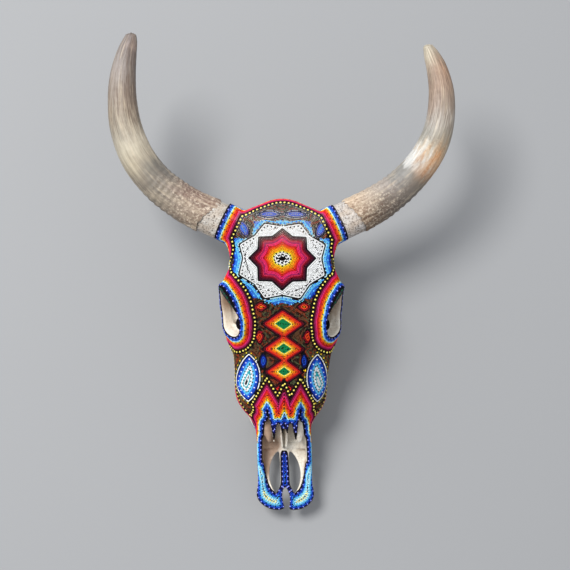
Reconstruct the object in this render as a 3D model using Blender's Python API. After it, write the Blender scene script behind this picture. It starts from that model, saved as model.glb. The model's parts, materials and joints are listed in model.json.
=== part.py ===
"""Cow skull, life size: cranium without the lower jaw, with horn cores and horn sheaths.

Metres, +Z up. The skull lies dorsal side up on its cheek teeth and on its paracondylar
processes. The snout points to -Y and the poll to +Y. Left and right are the animal's own, so
its left side is on +X.
The shapes are drawn about the median plane, and an empty brings the box's centre to the
origin.
"""
import math
import bpy
import bmesh
import numpy as np
from mathutils import Matrix, Vector

# ------------------------------------------------------------------ driving sizes
GAP = 0.0003                 # clearance between neighbouring bones
VOXEL_BODY = 0.0032          # voxel of the blended bone mass
VOXEL_ALL = 0.0030           # voxel of the finished skull
SKULL_TRIS = 3625            # triangles of the whole skull before it is parted

POLL_Y = 0.1300              # rear edge of the intercornual ridge
PARTING_Z = 0.132            # frontal bone above this height at y = 0
PARTING_TILT = 0.12          # fall of that plane towards the poll
OCCIPUT_Y = 0.071            # occipital bone behind this plane
SNOUT_TURN = 0.0245          # sideways lean of the snout, per metre of length
FACE_LEAN = 0.050            # sideways lean of the cheeks, per metre of height
NASAL_TIP_Y = -0.2385        # front of the lateral prongs
TOOTH_FRONT_Y = -0.198       # front of the first premolar
TOOTH_LENGTHS = (0.0160, 0.0190, 0.0185, 0.0240, 0.0270, 0.0290)
TOOTH_WIDTHS = (0.0130, 0.0165, 0.0185, 0.0225, 0.0240, 0.0225)

ORBIT_CENTRE = (0.0747, -0.0429, 0.1415)
ORBIT_FACING = (0.883, -0.255, 0.392)      # outward normal of the left rim; the right is its mirror image
ORBIT_LONG = 0.0375          # half length of the rim, front to back
ORBIT_HIGH = 0.0315          # half height of the rim
# how far the rim stands out sideways beyond its flat oval, by the angle round it in degrees
ORBIT_BROW = ((0, 0.0030), (20, 0.0015), (40, 0.0), (80, 0.0), (95, 0.0025), (110, 0.0062), (125, 0.0090), (140, 0.0085),
              (155, 0.0086), (170, 0.0080), (185, 0.0078), (200, 0.0078), (225, 0.0076), (246, 0.0076), (260, 0.0085),
              (269, 0.0100), (286, 0.0118), (300, 0.0118), (315, 0.0102), (335, 0.0064), (350, 0.0042), (360, 0.0030))

# frontal roof: y, half width, top, height of the lateral edge, underside
ROOF = (
    (-0.094, 0.036, 0.1545, 0.140, 0.118),
    (-0.080, 0.046, 0.1610, 0.150, 0.122),
    (-0.066, 0.057, 0.1670, 0.158, 0.128),
    (-0.052, 0.0710, 0.1725, 0.165, 0.134),
    (-0.036, 0.0810, 0.1770, 0.167, 0.138),
    (-0.020, 0.0880, 0.1805, 0.163, 0.138),
    (-0.006, 0.0910, 0.1835, 0.158, 0.136),
    (0.004, 0.0895, 0.1850, 0.157, 0.134),
    (0.016, 0.0835, 0.1860, 0.158, 0.134),
    (0.030, 0.0800, 0.1868, 0.159, 0.135),
    (0.044, 0.0805, 0.1870, 0.158, 0.134),
    (0.058, 0.0855, 0.1870, 0.156, 0.130),
    (0.074, 0.0900, 0.1868, 0.155, 0.124),
    (0.090, 0.0850, 0.1870, 0.155, 0.120),
    (0.104, 0.0700, 0.1880, 0.157, 0.122),
    (0.113, 0.0540, 0.1865, 0.160, 0.128),
    (0.120, 0.0360, 0.1835, 0.160, 0.136),
    (0.126, 0.0240, 0.1790, 0.160, 0.144),
    (POLL_Y, 0.0100, 0.1710, 0.160, 0.152),
)
# braincase and the bone between the orbits
CORE = (
    (-0.100, 0.048, 0.145, 0.100, 0.050),
    (-0.075, 0.044, 0.160, 0.110, 0.056),
    (-0.045, 0.032, 0.168, 0.115, 0.064),
    (-0.015, 0.030, 0.172, 0.115, 0.064),
    (0.015, 0.042, 0.175, 0.112, 0.060),
    (0.045, 0.055, 0.176, 0.112, 0.056),
    (0.070, 0.066, 0.176, 0.110, 0.054),
    (0.090, 0.068, 0.172, 0.110, 0.056),
    (0.103, 0.052, 0.165, 0.112, 0.066),
)
# face: maxillae, lacrimals and what the nasals rest on
FACE = (
    (-0.078, 0.0700, 0.1560, 0.1130, 0.058),
    (-0.090, 0.0760, 0.1540, 0.1060, 0.046),
    (-0.105, 0.0752, 0.1500, 0.0960, 0.038),
    (-0.120, 0.0735, 0.1460, 0.0860, 0.034),
    (-0.140, 0.0722, 0.1390, 0.0740, 0.031),
    (-0.158, 0.0722, 0.1320, 0.0680, 0.030),
    (-0.172, 0.0695, 0.1265, 0.0670, 0.030),
    (-0.186, 0.0620, 0.1200, 0.0660, 0.031),
    (-0.200, 0.0505, 0.1080, 0.0640, 0.031),
    (-0.214, 0.0440, 0.0930, 0.0600, 0.031),
    (-0.230, 0.0425, 0.0800, 0.0560, 0.031),
    (-0.248, 0.0425, 0.0680, 0.0500, 0.031),
)
# nasal bones: y, half width, top of the arch, drop to the lateral edge, thickness
NASAL = (
    (-0.086, 0.0230, 0.1592, 0.0050, 0.0120),
    (-0.110, 0.0262, 0.1530, 0.0062, 0.0110),
    (-0.140, 0.0272, 0.1430, 0.0070, 0.0090),
    (-0.170, 0.0266, 0.1318, 0.0074, 0.0070),
    (-0.196, 0.0248, 0.1210, 0.0076, 0.0055),
    (-0.215, 0.0222, 0.1130, 0.0070, 0.0048),
    (-0.240, 0.0185, 0.1030, 0.0050, 0.0040),
)

# horns: x, y, z of the axis, radius; the right horn is on the -X side
HORN_RIGHT = (
    (-0.0930, 0.0963, 0.1540, 0.0294), (-0.1170, 0.1072, 0.1545, 0.0288),
    (-0.1490, 0.1228, 0.1580, 0.0280), (-0.1900, 0.1520, 0.1670, 0.0264),
    (-0.2220, 0.1900, 0.1780, 0.0258), (-0.2405, 0.2340, 0.1880, 0.0244),
    (-0.2467, 0.2770, 0.1970, 0.0216), (-0.2455, 0.3140, 0.2060, 0.0190),
    (-0.2403, 0.3440, 0.2140, 0.0150), (-0.2350, 0.3625, 0.2205, 0.0110),
    (-0.2325, 0.3720, 0.2240, 0.0076),
)
HORN_LEFT = (
    (0.0905, 0.0966, 0.1540, 0.0290), (0.1135, 0.1076, 0.1545, 0.0292),
    (0.1440, 0.1235, 0.1580, 0.0284), (0.1820, 0.1495, 0.1670, 0.0256),
    (0.2148, 0.1838, 0.1780, 0.0240), (0.2362, 0.2210, 0.1860, 0.0228),
    (0.2450, 0.2570, 0.1940, 0.0210), (0.2452, 0.2940, 0.2020, 0.0188),
    (0.2380, 0.3255, 0.2100, 0.0154), (0.2287, 0.3470, 0.2175, 0.0112),
    (0.2225, 0.3590, 0.2225, 0.0068),
)
CORE_SHOWS = 0.030           # bare horn core between the frontal bone and the sheath
SOCKET = 0.022               # how far the core runs into the sheath
PEG_STEP = 0.0060            # how much thinner the core is inside the sheath
HORN_SIDES = 14


# ------------------------------------------------------------------ curve helpers
def smooth_table(rows, steps):
    """Rows of numbers against their first column, resampled by a monotone cubic."""
    a = np.array(rows, dtype=float)
    t = a[:, 0]
    out_t = np.linspace(t[0], t[-1], steps)
    return np.column_stack([out_t] + [monotone(t, a[:, k], out_t) for k in range(1, a.shape[1])])


def monotone(t, v, at):
    t = np.asarray(t, float)
    v = np.asarray(v, float)
    if t[0] > t[-1]:
        t, v = t[::-1], v[::-1]
    h = np.diff(t)
    d = np.diff(v) / h
    m = np.zeros(len(t))
    for i in range(1, len(t) - 1):
        if d[i - 1] * d[i] > 0:
            w1 = 2 * h[i] + h[i - 1]
            w2 = h[i] + 2 * h[i - 1]
            m[i] = (w1 + w2) / (w1 / d[i - 1] + w2 / d[i])
    m[0], m[-1] = d[0], d[-1]
    i = np.clip(np.searchsorted(t, at) - 1, 0, len(t) - 2)
    s = (at - t[i]) / h[i]
    return ((2 * s**3 - 3 * s**2 + 1) * v[i] + (s**3 - 2 * s**2 + s) * h[i] * m[i]
            + (-2 * s**3 + 3 * s**2) * v[i + 1] + (s**3 - s**2) * h[i] * m[i + 1])


def spline(points, steps):
    """Catmull-Rom through rows of any width, evenly spaced by arc length of x, y, z."""
    p = np.array(points, float)
    p = np.vstack([2 * p[0] - p[1], p, 2 * p[-1] - p[-2]])
    fine = []
    for i in range(1, len(p) - 2):
        for s in np.linspace(0, 1, 24, endpoint=False):
            fine.append(0.5 * ((2 * p[i]) + (-p[i - 1] + p[i + 1]) * s
                        + (2 * p[i - 1] - 5 * p[i] + 4 * p[i + 1] - p[i + 2]) * s**2
                        + (-p[i - 1] + 3 * p[i] - 3 * p[i + 1] + p[i + 2]) * s**3))
    fine.append(p[-2])
    fine = np.array(fine)
    run = np.concatenate([[0], np.cumsum(np.linalg.norm(np.diff(fine[:, :3], axis=0), axis=1))])
    at = np.linspace(0, run[-1], steps)
    return np.column_stack([np.interp(at, run, fine[:, k]) for k in range(fine.shape[1])]), at


# ------------------------------------------------------------------ mesh helpers
def mesh_object(name, bm):
    mesh = bpy.data.meshes.new(name)
    bmesh.ops.recalc_face_normals(bm, faces=bm.faces)
    bm.to_mesh(mesh)
    bm.free()
    obj = bpy.data.objects.new(name, mesh)
    bpy.context.scene.collection.objects.link(obj)
    return obj


def rings_object(name, rings):
    """A closed solid bridged through rings of equal count, with fanned ends."""
    bm = bmesh.new()
    rows = [[bm.verts.new(p) for p in ring] for ring in rings]
    n = len(rows[0])
    for a, b in zip(rows, rows[1:]):
        for i in range(n):
            bm.faces.new((a[i], a[(i + 1) % n], b[(i + 1) % n], b[i]))
    for row in (rows[0], rows[-1]):
        centre = bm.verts.new(sum((v.co for v in row), Vector()) / n)
        for i in range(n):
            bm.faces.new((row[i], row[(i + 1) % n], centre))
    return mesh_object(name, bm)


def section(half, top, wide, bottom, p_top, p_bottom, count):
    pts = []
    for k in range(count):
        t = 2 * math.pi * k / count
        c, s = math.cos(t), math.sin(t)
        p = p_top if s >= 0 else p_bottom
        x = half * math.copysign(abs(c) ** (2 / p), c)
        z = wide + (top - wide if s >= 0 else wide - bottom) * math.copysign(abs(s) ** (2 / p), s)
        pts.append((x, z))
    return pts


def loft(name, rows, p_top=2.3, p_bottom=2.3, steps=48, count=48):
    table = smooth_table(rows, steps)
    return rings_object(name, [[(x, r[0], z) for x, z in section(r[1], r[2], r[3], r[4], p_top, p_bottom, count)]
                               for r in table])


def tube(name, rows, up=(0, 0, 1), steps=24, count=16, round_ends=True):
    """Rows are x, y, z, half width across 'up', half width along 'up'."""
    pts, run = spline(rows, steps)
    up = Vector(up)
    rings = []
    for i, r in enumerate(pts):
        a = Vector(pts[max(i - 1, 0)][:3])
        b = Vector(pts[min(i + 1, len(pts) - 1)][:3])
        t = (b - a).normalized()
        side = t.cross(up).normalized()
        over = side.cross(t).normalized()
        rings.append((Vector(r[:3]), t, side, over, r[3], r[4]))
    out = []
    if round_ends:
        c, t, side, over, wa, wb = rings[0]
        m = min(wa, wb)
        for k in (0.25, 0.6, 0.88):
            out.append((c - t * m * math.sqrt(1 - k * k), side, over, wa * k, wb * k))
    out += [(c, side, over, wa, wb) for c, t, side, over, wa, wb in rings]
    if round_ends:
        c, t, side, over, wa, wb = rings[-1]
        m = min(wa, wb)
        for k in (0.88, 0.6, 0.25):
            out.append((c + t * m * math.sqrt(1 - k * k), side, over, wa * k, wb * k))
    return rings_object(name, [[c + side * (wa * math.cos(2 * math.pi * k / count))
                                + over * (wb * math.sin(2 * math.pi * k / count)) for k in range(count)]
                               for c, side, over, wa, wb in out])


def ellipsoid(name, centre, radii, turn=(0, 0, 0)):
    bm = bmesh.new()
    bmesh.ops.create_icosphere(bm, subdivisions=4, radius=1.0)
    m = (Matrix.Translation(centre) @ Matrix.Rotation(turn[2], 4, 'Z') @ Matrix.Rotation(turn[1], 4, 'Y')
         @ Matrix.Rotation(turn[0], 4, 'X') @ Matrix.Diagonal((*radii, 1)))
    bmesh.ops.transform(bm, matrix=m, verts=bm.verts)
    return mesh_object(name, bm)


def block(name, low, high, matrix=None):
    bm = bmesh.new()
    bmesh.ops.create_cube(bm, size=1.0)
    low, high = Vector(low), Vector(high)
    bmesh.ops.transform(bm, matrix=Matrix.Translation((low + high) / 2) @ Matrix.Diagonal((*(high - low), 1)),
                        verts=bm.verts)
    if matrix is not None:
        bmesh.ops.transform(bm, matrix=matrix, verts=bm.verts)
    return mesh_object(name, bm)


def mirrored(obj, name):
    bm = bmesh.new()
    bm.from_mesh(obj.data)
    bmesh.ops.transform(bm, matrix=Matrix.Diagonal((-1, 1, 1, 1)), verts=bm.verts)
    bmesh.ops.reverse_faces(bm, faces=bm.faces)
    return mesh_object(name, bm)


def both(obj):
    return [obj, mirrored(obj, obj.name + "_m")]


def copied(obj, name):
    twin = bpy.data.objects.new(name, obj.data.copy())
    bpy.context.scene.collection.objects.link(twin)
    return twin


def drop(*objs):
    for o in objs:
        mesh = o.data
        bpy.data.objects.remove(o)
        if mesh.users == 0:
            bpy.data.meshes.remove(mesh)


def joined(name, objs):
    bm = bmesh.new()
    for o in objs:
        bm.from_mesh(o.data)
    drop(*objs)
    return mesh_object_keep(name, bm)


def mesh_object_keep(name, bm):
    mesh = bpy.data.meshes.new(name)
    bm.to_mesh(mesh)
    bm.free()
    obj = bpy.data.objects.new(name, mesh)
    bpy.context.scene.collection.objects.link(obj)
    return obj


def settle(obj):
    """Replace an object's mesh by its evaluated one and clear its modifiers."""
    bpy.context.view_layer.update()
    graph = bpy.context.evaluated_depsgraph_get()
    mesh = bpy.data.meshes.new_from_object(obj.evaluated_get(graph))
    old = obj.data
    obj.modifiers.clear()
    obj.data = mesh
    bpy.data.meshes.remove(old)
    return obj


def remeshed(obj, voxel):
    m = obj.modifiers.new("voxels", 'REMESH')
    m.mode = 'VOXEL'
    m.voxel_size = voxel
    m.adaptivity = 0.0
    return settle(obj)


def smoothed(obj, factor, times):
    m = obj.modifiers.new("smooth", 'SMOOTH')
    m.factor = factor
    m.iterations = times
    return settle(obj)


def boolean(obj, tool, operation, keep=False):
    m = obj.modifiers.new("bool", 'BOOLEAN')
    m.operation = operation
    m.solver = 'MANIFOLD'
    m.object = tool
    settle(obj)
    if not keep:
        drop(tool)
    return obj


def thinned(obj, triangles):
    obj.data.calc_loop_triangles()
    m = obj.modifiers.new("thin", 'DECIMATE')
    m.ratio = min(1.0, triangles / max(1, len(obj.data.loop_triangles)))
    m.use_collapse_triangulate = True
    return settle(obj)


# ------------------------------------------------------------------ bones
def orbit_axes():
    n = Vector(ORBIT_FACING).normalized()
    back = Vector((0.277, 0.961, 0.0))
    back = (back - n * back.dot(n)).normalized()
    down = back.cross(n).normalized()
    if down.z > 0:
        down.negate()
    return Vector(ORBIT_CENTRE), n, back, down


def orbit_edge(angle, scale=1.0, extra=0.0, flare=1.0):
    """Point on the orbit's edge: angle 0 is its rear, 90 degrees its lowest point.

    The upper rear quarter reaches further out than the rest, as the roof of the orbit does,
    and so does the brow over the front half."""
    c, n, back, down = orbit_axes()
    out = 0.0085 * max(0.0, math.cos(angle + math.radians(38))) ** 2 - 0.0020 * max(0.0, -math.cos(angle)) ** 2
    brow = float(np.interp(math.degrees(angle) % 360, *zip(*ORBIT_BROW)))
    return (c + back * (ORBIT_LONG * scale + extra) * math.cos(angle)
            + down * (ORBIT_HIGH * scale + extra) * math.sin(angle) + (n * out + Vector((brow, 0, 0))) * flare)


def orbit_rim(name):
    c, n, back, down = orbit_axes()
    count, cross = 48, 12
    bm = bmesh.new()
    rows = []
    for i in range(count):
        a = 2 * math.pi * i / count
        out = back * math.cos(a) + down * math.sin(a)
        low = max(0.0, math.sin(a))
        behind = max(0.0, math.cos(a))
        thick = 0.0046 + 0.0030 * low + 0.0016 * behind + 0.0026 * max(0.0, math.sin(a - 0.7))
        deep = 0.0080 + 0.0008 * behind + 0.0035 * max(0.0, -math.sin(a))
        at = orbit_edge(a, 1.0, 0.004) - n * (0.004 + 0.004 * max(0.0, -math.sin(a)))
        rows.append([bm.verts.new(at + out * thick * math.cos(b) + n * deep * math.sin(b))
                     for b in (2 * math.pi * k / cross for k in range(cross))])
    for i in range(count):
        a, b = rows[i], rows[(i + 1) % count]
        for k in range(cross):
            bm.faces.new((a[k], a[(k + 1) % cross], b[(k + 1) % cross], b[k]))
    return mesh_object(name, bm)


def orbit_cutter(name):
    c, n, back, down = orbit_axes()
    apex = Vector((0.026, 0.004, 0.122))
    line = [(c + n * 0.045, 1.20, 1.0), (c + n * 0.014, 1.06, 1.0), (c, 0.985, 1.0), (c - n * 0.010, 0.98, 0.9),
            (c.lerp(apex, 0.42), 0.82, 0.4), (c.lerp(apex, 0.70), 0.55, 0.1), (apex, 0.22, 0.0)]
    count = 32
    rings = []
    for at, k, flare in line:
        rings.append([orbit_edge(2 * math.pi * i / count, k, 0.0, flare) + (at - c) for i in range(count)])
    return rings_object(name, rings)


def tooth_x(y):
    """Distance of the tooth row from the median plane."""
    t = (y - TOOTH_FRONT_Y) / sum(TOOTH_LENGTHS)
    return 0.0425 + 0.0150 * t ** 0.75 if t > 0 else 0.0425


def bone_mass():
    """The large blended volumes of one skull, the left side mirrored to the right."""
    parts = [loft("roof", ROOF, 2.5, 2.2, 56, 56), loft("core", CORE, 2.4, 2.4, 44, 40),
             loft("face", FACE, 1.85, 2.9, 44, 48)]
    sides = [
        orbit_rim("rim"),
        # stalk that carries the horn core
        tube("stalk", ((0.045, 0.078, 0.152, 0.030, 0.026), (0.075, 0.090, 0.153, 0.030, 0.028),
                       (0.108, 0.106, 0.154, 0.0295, 0.0290)), steps=12, count=24),
        # zygomatic arch from the joint of the jaw to below the orbit
        tube("arch", ((0.060, 0.060, 0.098, 0.012, 0.013), (0.0745, 0.044, 0.099, 0.008, 0.012),
                      (0.0785, 0.024, 0.101, 0.0055, 0.0105), (0.0815, 0.004, 0.103, 0.0055, 0.0110),
                      (0.0845, -0.020, 0.100, 0.0070, 0.0140), (0.0842, -0.045, 0.096, 0.0085, 0.0180),
                      (0.0772, -0.075, 0.096, 0.0105, 0.0210), (0.0660, -0.098, 0.096, 0.0110, 0.0200)),
             steps=40, count=20),
        # floor of the orbit, from the cheek bone in to the lacrimal bulla
        ellipsoid("orbit_floor", (0.0640, -0.042, 0.0930), (0.0240, 0.036, 0.0085), (0.0, -0.30, 0.0)),
        # cheek bone, from the orbit to the facial tuber
        tube("cheek", ((0.076, -0.066, 0.118, 0.0100, 0.0160), (0.0665, -0.095, 0.106, 0.0110, 0.0200),
                       (0.0625, -0.125, 0.090, 0.0110, 0.0180), (0.0610, -0.158, 0.070, 0.0110, 0.0100),
                       (0.0560, -0.176, 0.062, 0.0080, 0.0070)), steps=24, count=20),
        # bone behind the orbit, under the frontal crest
        ellipsoid("crest", (0.060, 0.030, 0.158), (0.020, 0.050, 0.012)),
        # wall in front of the orbit
        ellipsoid("lacrimal", (0.055, -0.078, 0.122), (0.020, 0.022, 0.028), (0, 0, -0.3)),
        ellipsoid("lacrimal_bulla", (0.050, -0.052, 0.086), (0.015, 0.024, 0.018)),
        ellipsoid("tuber_maxillae", (0.050, -0.066, 0.056), (0.016, 0.022, 0.026)),
        # alveolar ridge over the tooth roots
        tube("alveoli", ((0.036, -0.218, 0.040, 0.0060, 0.0090), (0.0430, -0.198, 0.036, 0.0090, 0.0150),
                         (0.0500, -0.160, 0.036, 0.0125, 0.0185), (0.0545, -0.120, 0.038, 0.0145, 0.0205),
                         (0.0565, -0.080, 0.040, 0.0140, 0.0200), (0.0560, -0.062, 0.046, 0.0100, 0.0180)),
             steps=30, count=20),
        # occiput: mastoid side, squamous part, ear
        ellipsoid("mastoid", (0.062, 0.080, 0.104), (0.020, 0.018, 0.030)),
        ellipsoid("nuchal", (0.040, 0.092, 0.130), (0.042, 0.018, 0.036)),
        ellipsoid("joint", (0.062, 0.043, 0.090), (0.021, 0.012, 0.0085), (0.0, 0.10, -0.15)),
        tube("ear", ((0.050, 0.060, 0.090, 0.009, 0.009), (0.0745, 0.064, 0.093, 0.0075, 0.0075)), steps=8),
    ]
    for s in sides:
        parts += both(s)
    parts += [
        tube("base", ((0, 0.098, 0.062, 0.020, 0.012), (0, 0.060, 0.058, 0.019, 0.011),
                      (0, 0.020, 0.060, 0.015, 0.011), (0, -0.020, 0.066, 0.011, 0.010)), steps=20),
        ellipsoid("poll", (0, 0.104, 0.172), (0.040, 0.018, 0.016)),
    ]
    return parts


def fine_bones():
    """Thin and sharp parts, which the first smoothing would wear away."""
    sides = [
        # occipital condyle and paracondylar process
        ellipsoid("condyle", (0.0285, 0.0985, 0.068), (0.0185, 0.0145, 0.0225), (0.25, -0.45, -0.35)),
        tube("paracondylar", ((0.056, 0.080, 0.092, 0.018, 0.012), (0.0560, 0.086, 0.060, 0.0165, 0.0095),
                              (0.0535, 0.090, 0.030, 0.0125, 0.0070), (0.0480, 0.089, 0.003, 0.0080, 0.0056)),
             up=(0, 1, 0), steps=20, count=16),
        ellipsoid("bulla", (0.036, 0.056, 0.050), (0.0085, 0.0165, 0.0175), (0, 0.15, 0.2)),
        tube("bulla_spine", ((0.038, 0.050, 0.048, 0.006, 0.006), (0.037, 0.036, 0.034, 0.0025, 0.0030)), steps=8),
        tube("basal_tubercle", ((0.012, 0.062, 0.055, 0.007, 0.006), (0.013, 0.048, 0.049, 0.004, 0.004)), steps=8),
        # pterygoid plate beside the choana
        tube("pterygoid", ((0.0290, -0.058, 0.052, 0.0035, 0.022), (0.0245, -0.030, 0.052, 0.0030, 0.021),
                           (0.0225, -0.004, 0.056, 0.0028, 0.018), (0.0210, 0.012, 0.060, 0.0030, 0.010)),
             steps=20, count=16),
        tube("hamulus", ((0.0225, -0.006, 0.044, 0.0028, 0.006), (0.0215, 0.004, 0.031, 0.0022, 0.0035)), steps=8),
        # premaxilla: nasal process and body
        tube("nasal_process", ((0.0375, -0.206, 0.072, 0.0050, 0.0120), (0.0378, -0.230, 0.064, 0.0048, 0.0110),
                               (0.0383, -0.252, 0.054, 0.0046, 0.0110), (0.0380, -0.276, 0.045, 0.0048, 0.0090),
                               (0.0368, -0.300, 0.0395, 0.0060, 0.0062), (0.0358, -0.318, 0.0360, 0.0100, 0.0052)),
             steps=36, count=16),
        tube("premaxilla_body", ((0.0370, -0.311, 0.0365, 0.0085, 0.0050), (0.0344, -0.3210, 0.0350, 0.0112, 0.0054),
                                 (0.0250, -0.3280, 0.0330, 0.0131, 0.0052), (0.0130, -0.3312, 0.0320, 0.0130, 0.0048),
                                 (0.0060, -0.3306, 0.0318, 0.0118, 0.0047), (-0.0010, -0.3300, 0.0318, 0.0094, 0.0046)),
             steps=26, count=20),
        tube("palatine_process", ((0.0105, -0.3220, 0.0345, 0.0050, 0.0046), (0.0052, -0.306, 0.0365, 0.0040, 0.0046),
                                  (0.0040, -0.285, 0.0375, 0.0036, 0.0046), (0.0040, -0.2500, 0.0385, 0.0036, 0.0048)),
             steps=24, count=12),
        # swelling of the lacrimal bone on the inner wall of the orbit
        ellipsoid("lacrimal_swelling", (0.0655, -0.0630, 0.1535), (0.0062, 0.0098, 0.0070)),
        # crest of the lower concha along the wall of the nose
        ellipsoid("concha", (0.0270, -0.190, 0.0760), (0.0085, 0.050, 0.0110), (0.16, 0.5, 0.0)),
    ]
    parts = []
    for s in sides:
        parts += both(s)
    parts.append(loft("palate", ((-0.3160, 0.0330, 0.0380, 0.0350, 0.0320), (-0.2800, 0.0350, 0.0385, 0.0355, 0.0320),
                                 (-0.2500, 0.0380, 0.0405, 0.0365, 0.0320), (-0.2200, 0.0400, 0.0425, 0.0370, 0.0315),
                                 (-0.1500, 0.0450, 0.0440, 0.0380, 0.0320), (-0.0700, 0.0460, 0.0460, 0.0400, 0.0340)),
                      4.0, 4.0, 44, 32))
    parts.append(nasal_roof())
    return parts


def nasal_roof():
    """Both nasal bones as one arched plate with four prongs at its front."""
    rows = smooth_table(NASAL, 40)
    n = 24
    bm = bmesh.new()
    tops, unders = [], []
    for y, half, top, fall, thick in rows:
        t, u = [], []
        for k in range(n + 1):
            s = -1 + 2 * k / n
            z = top - fall * abs(s) ** 2.2 - 0.0012 * math.exp(-(s / 0.09) ** 2)
            edge = 1 - 0.65 * abs(s) ** 6
            t.append(bm.verts.new((half * s, y, z)))
            u.append(bm.verts.new((half * s * 0.985, y, z - thick * edge)))
        tops.append(t)
        unders.append(u)
    for i in range(len(rows) - 1):
        for k in range(n):
            bm.faces.new((tops[i][k], tops[i][k + 1], tops[i + 1][k + 1], tops[i + 1][k]))
            bm.faces.new((unders[i][k], unders[i + 1][k], unders[i + 1][k + 1], unders[i][k + 1]))
        for k in (0, n):
            bm.faces.new((tops[i][k], tops[i + 1][k], unders[i + 1][k], unders[i][k]))
    for i in (0, len(rows) - 1):
        for k in range(n):
            bm.faces.new((tops[i][k], tops[i][k + 1], unders[i][k + 1], unders[i][k]))
    roof = mesh_object("nasal_roof", bm)
    # notches between the prongs
    for x, apex, half in ((0.0093, -0.2085, 0.0060), (-0.0093, -0.2085, 0.0060), (0.0, -0.2180, 0.0052)):
        boolean(roof, wedge("notch", x, apex, half), 'DIFFERENCE')
    return roof


def wedge(name, x, apex, half):
    """Upright wedge that opens to the front from its apex."""
    front = NASAL_TIP_Y - 0.012
    plan = [(x - half * 1.35 * (k / 8) ** 0.62, apex + (front - apex) * k / 8) for k in range(9)]
    plan += [(x + half * 1.35 * (k / 8) ** 0.62, apex + (front - apex) * k / 8) for k in range(8, 0, -1)]
    return prism(name, plan, 0.07, 0.16)


def teeth():
    """Six cheek teeth a side, as tapered rounded prisms with worn flat crowns."""
    out = []
    y = TOOTH_FRONT_Y
    for length, width in zip(TOOTH_LENGTHS, TOOTH_WIDTHS):
        mid = y + length / 2
        x = tooth_x(mid)
        lobes = 2 if length > 0.02 else 1
        rings = []
        for z, k in ((0.030, 0.90), (0.014, 0.96), (0.004, 1.0), (0.0008, 0.97), (-0.0006, 0.88)):
            ring = []
            for i in range(24):
                a = 2 * math.pi * i / 24
                p = 3.2
                cx = math.copysign(abs(math.cos(a)) ** (2 / p), math.cos(a))
                cy = math.copysign(abs(math.sin(a)) ** (2 / p), math.sin(a))
                pinch = 1 - (0.13 * math.exp(-(cy / 0.22) ** 2) if lobes == 2 else 0.0)
                ring.append((x + cx * pinch * width / 2 * k, mid + cy * (length / 2 - 0.0004) * k, z))
            rings.append(ring)
        out += both(rings_object("tooth", rings))
        y += length
    return out


def cavities():
    """What is open in the skull: orbits, nose, palatine fissures, choanae, foramen magnum."""
    out = both(orbit_cutter("orbit"))
    # nasal cavity, from the aperture back under the nasal bones
    out.append(loft("nose", (
        (-0.300, 0.0340, 0.2000, 0.0700, 0.0600), (-0.262, 0.0350, 0.1900, 0.0640, 0.0440),
        (-0.250, 0.0335, 0.1700, 0.0620, 0.0420), (-0.232, 0.0325, 0.1300, 0.0640, 0.0415),
        (-0.214, 0.0305, 0.1060, 0.0660, 0.0420), (-0.196, 0.0300, 0.1125, 0.0700, 0.0430),
        (-0.165, 0.0300, 0.1200, 0.0760, 0.0450), (-0.130, 0.0290, 0.1220, 0.0800, 0.0500),
        (-0.105, 0.0180, 0.1100, 0.0850, 0.0640)), 2.2, 2.6, 44, 36))
    # the aperture between the nasal bones and the maxillae, beside the notches
    # foramen magnum and the canal behind it
    out.append(tube("foramen", ((0, 0.135, 0.080, 0.0180, 0.0165), (0, 0.105, 0.080, 0.0175, 0.0160),
                                (0, 0.080, 0.084, 0.0160, 0.0150)), steps=8, count=24))
    # choanae, seen from behind and below
    out.append(loft("choana", (
        (0.012, 0.0170, 0.0570, 0.0450, 0.0250), (-0.010, 0.0195, 0.0620, 0.0480, 0.0200),
        (-0.035, 0.0215, 0.0660, 0.0480, 0.0200), (-0.052, 0.0220, 0.0640, 0.0480, 0.0300),
        (-0.064, 0.0120, 0.0580, 0.0500, 0.0400)), 2.2, 3.0, 24, 28))
    return out


def palatine_fissure(name):
    """Upright almond-shaped hole beside the palatine process."""
    front, rear, inner, reach = -0.3195, -0.2500, 0.0078, 0.0172
    n = 16
    plan = []
    for k in range(n + 1):
        t = k / n
        plan.append((inner + 0.0074 * max(0.0, 1 - t / 0.28) ** 1.7 - 0.0008 * math.sin(math.pi * t), front + (rear - front) * t))
    for k in range(n - 1, 0, -1):
        t = k / n
        plan.append((inner + reach * math.sin(math.pi * t ** 0.92) ** (0.46 if t < 0.5 else 0.62), front + (rear - front) * t))
    return prism(name, plan, 0.020, 0.0585)


def incisive_gap(name):
    """Upright slot between the two premaxillae, open to the front."""
    plan = [(0.0000, -0.3068), (0.0022, -0.3096), (0.0039, -0.3125), (0.0064, -0.3180), (0.0076, -0.3240), (0.0073, -0.3317),
            (0.0063, -0.3390), (0.0061, -0.3520), (-0.0018, -0.3520), (-0.0021, -0.3390), (-0.0046, -0.3317),
            (-0.0053, -0.3240), (-0.0052, -0.3180), (-0.0044, -0.3125), (-0.0025, -0.3096)]
    return prism(name, plan, 0.015, 0.060)


def prism(name, plan, low, high):
    bm = bmesh.new()
    a = [bm.verts.new((x, y, low)) for x, y in plan]
    b = [bm.verts.new((x, y, high)) for x, y in plan]
    bm.faces.new(a)
    bm.faces.new(b)
    for i in range(len(plan)):
        k = (i + 1) % len(plan)
        bm.faces.new((a[i], a[k], b[k], b[i]))
    return mesh_object(name, bm)


def temporal_gap():
    """Through gap between the zygomatic arch and the braincase."""
    return tube("gap", ((0.062, 0.020, 0.050, 0.0125, 0.0230), (0.0640, 0.016, 0.085, 0.0120, 0.0240),
                        (0.0660, 0.012, 0.118, 0.0120, 0.0230), (0.0660, 0.012, 0.134, 0.0100, 0.0180)),
                up=(0, 1, 0), steps=16, count=24)


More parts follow.
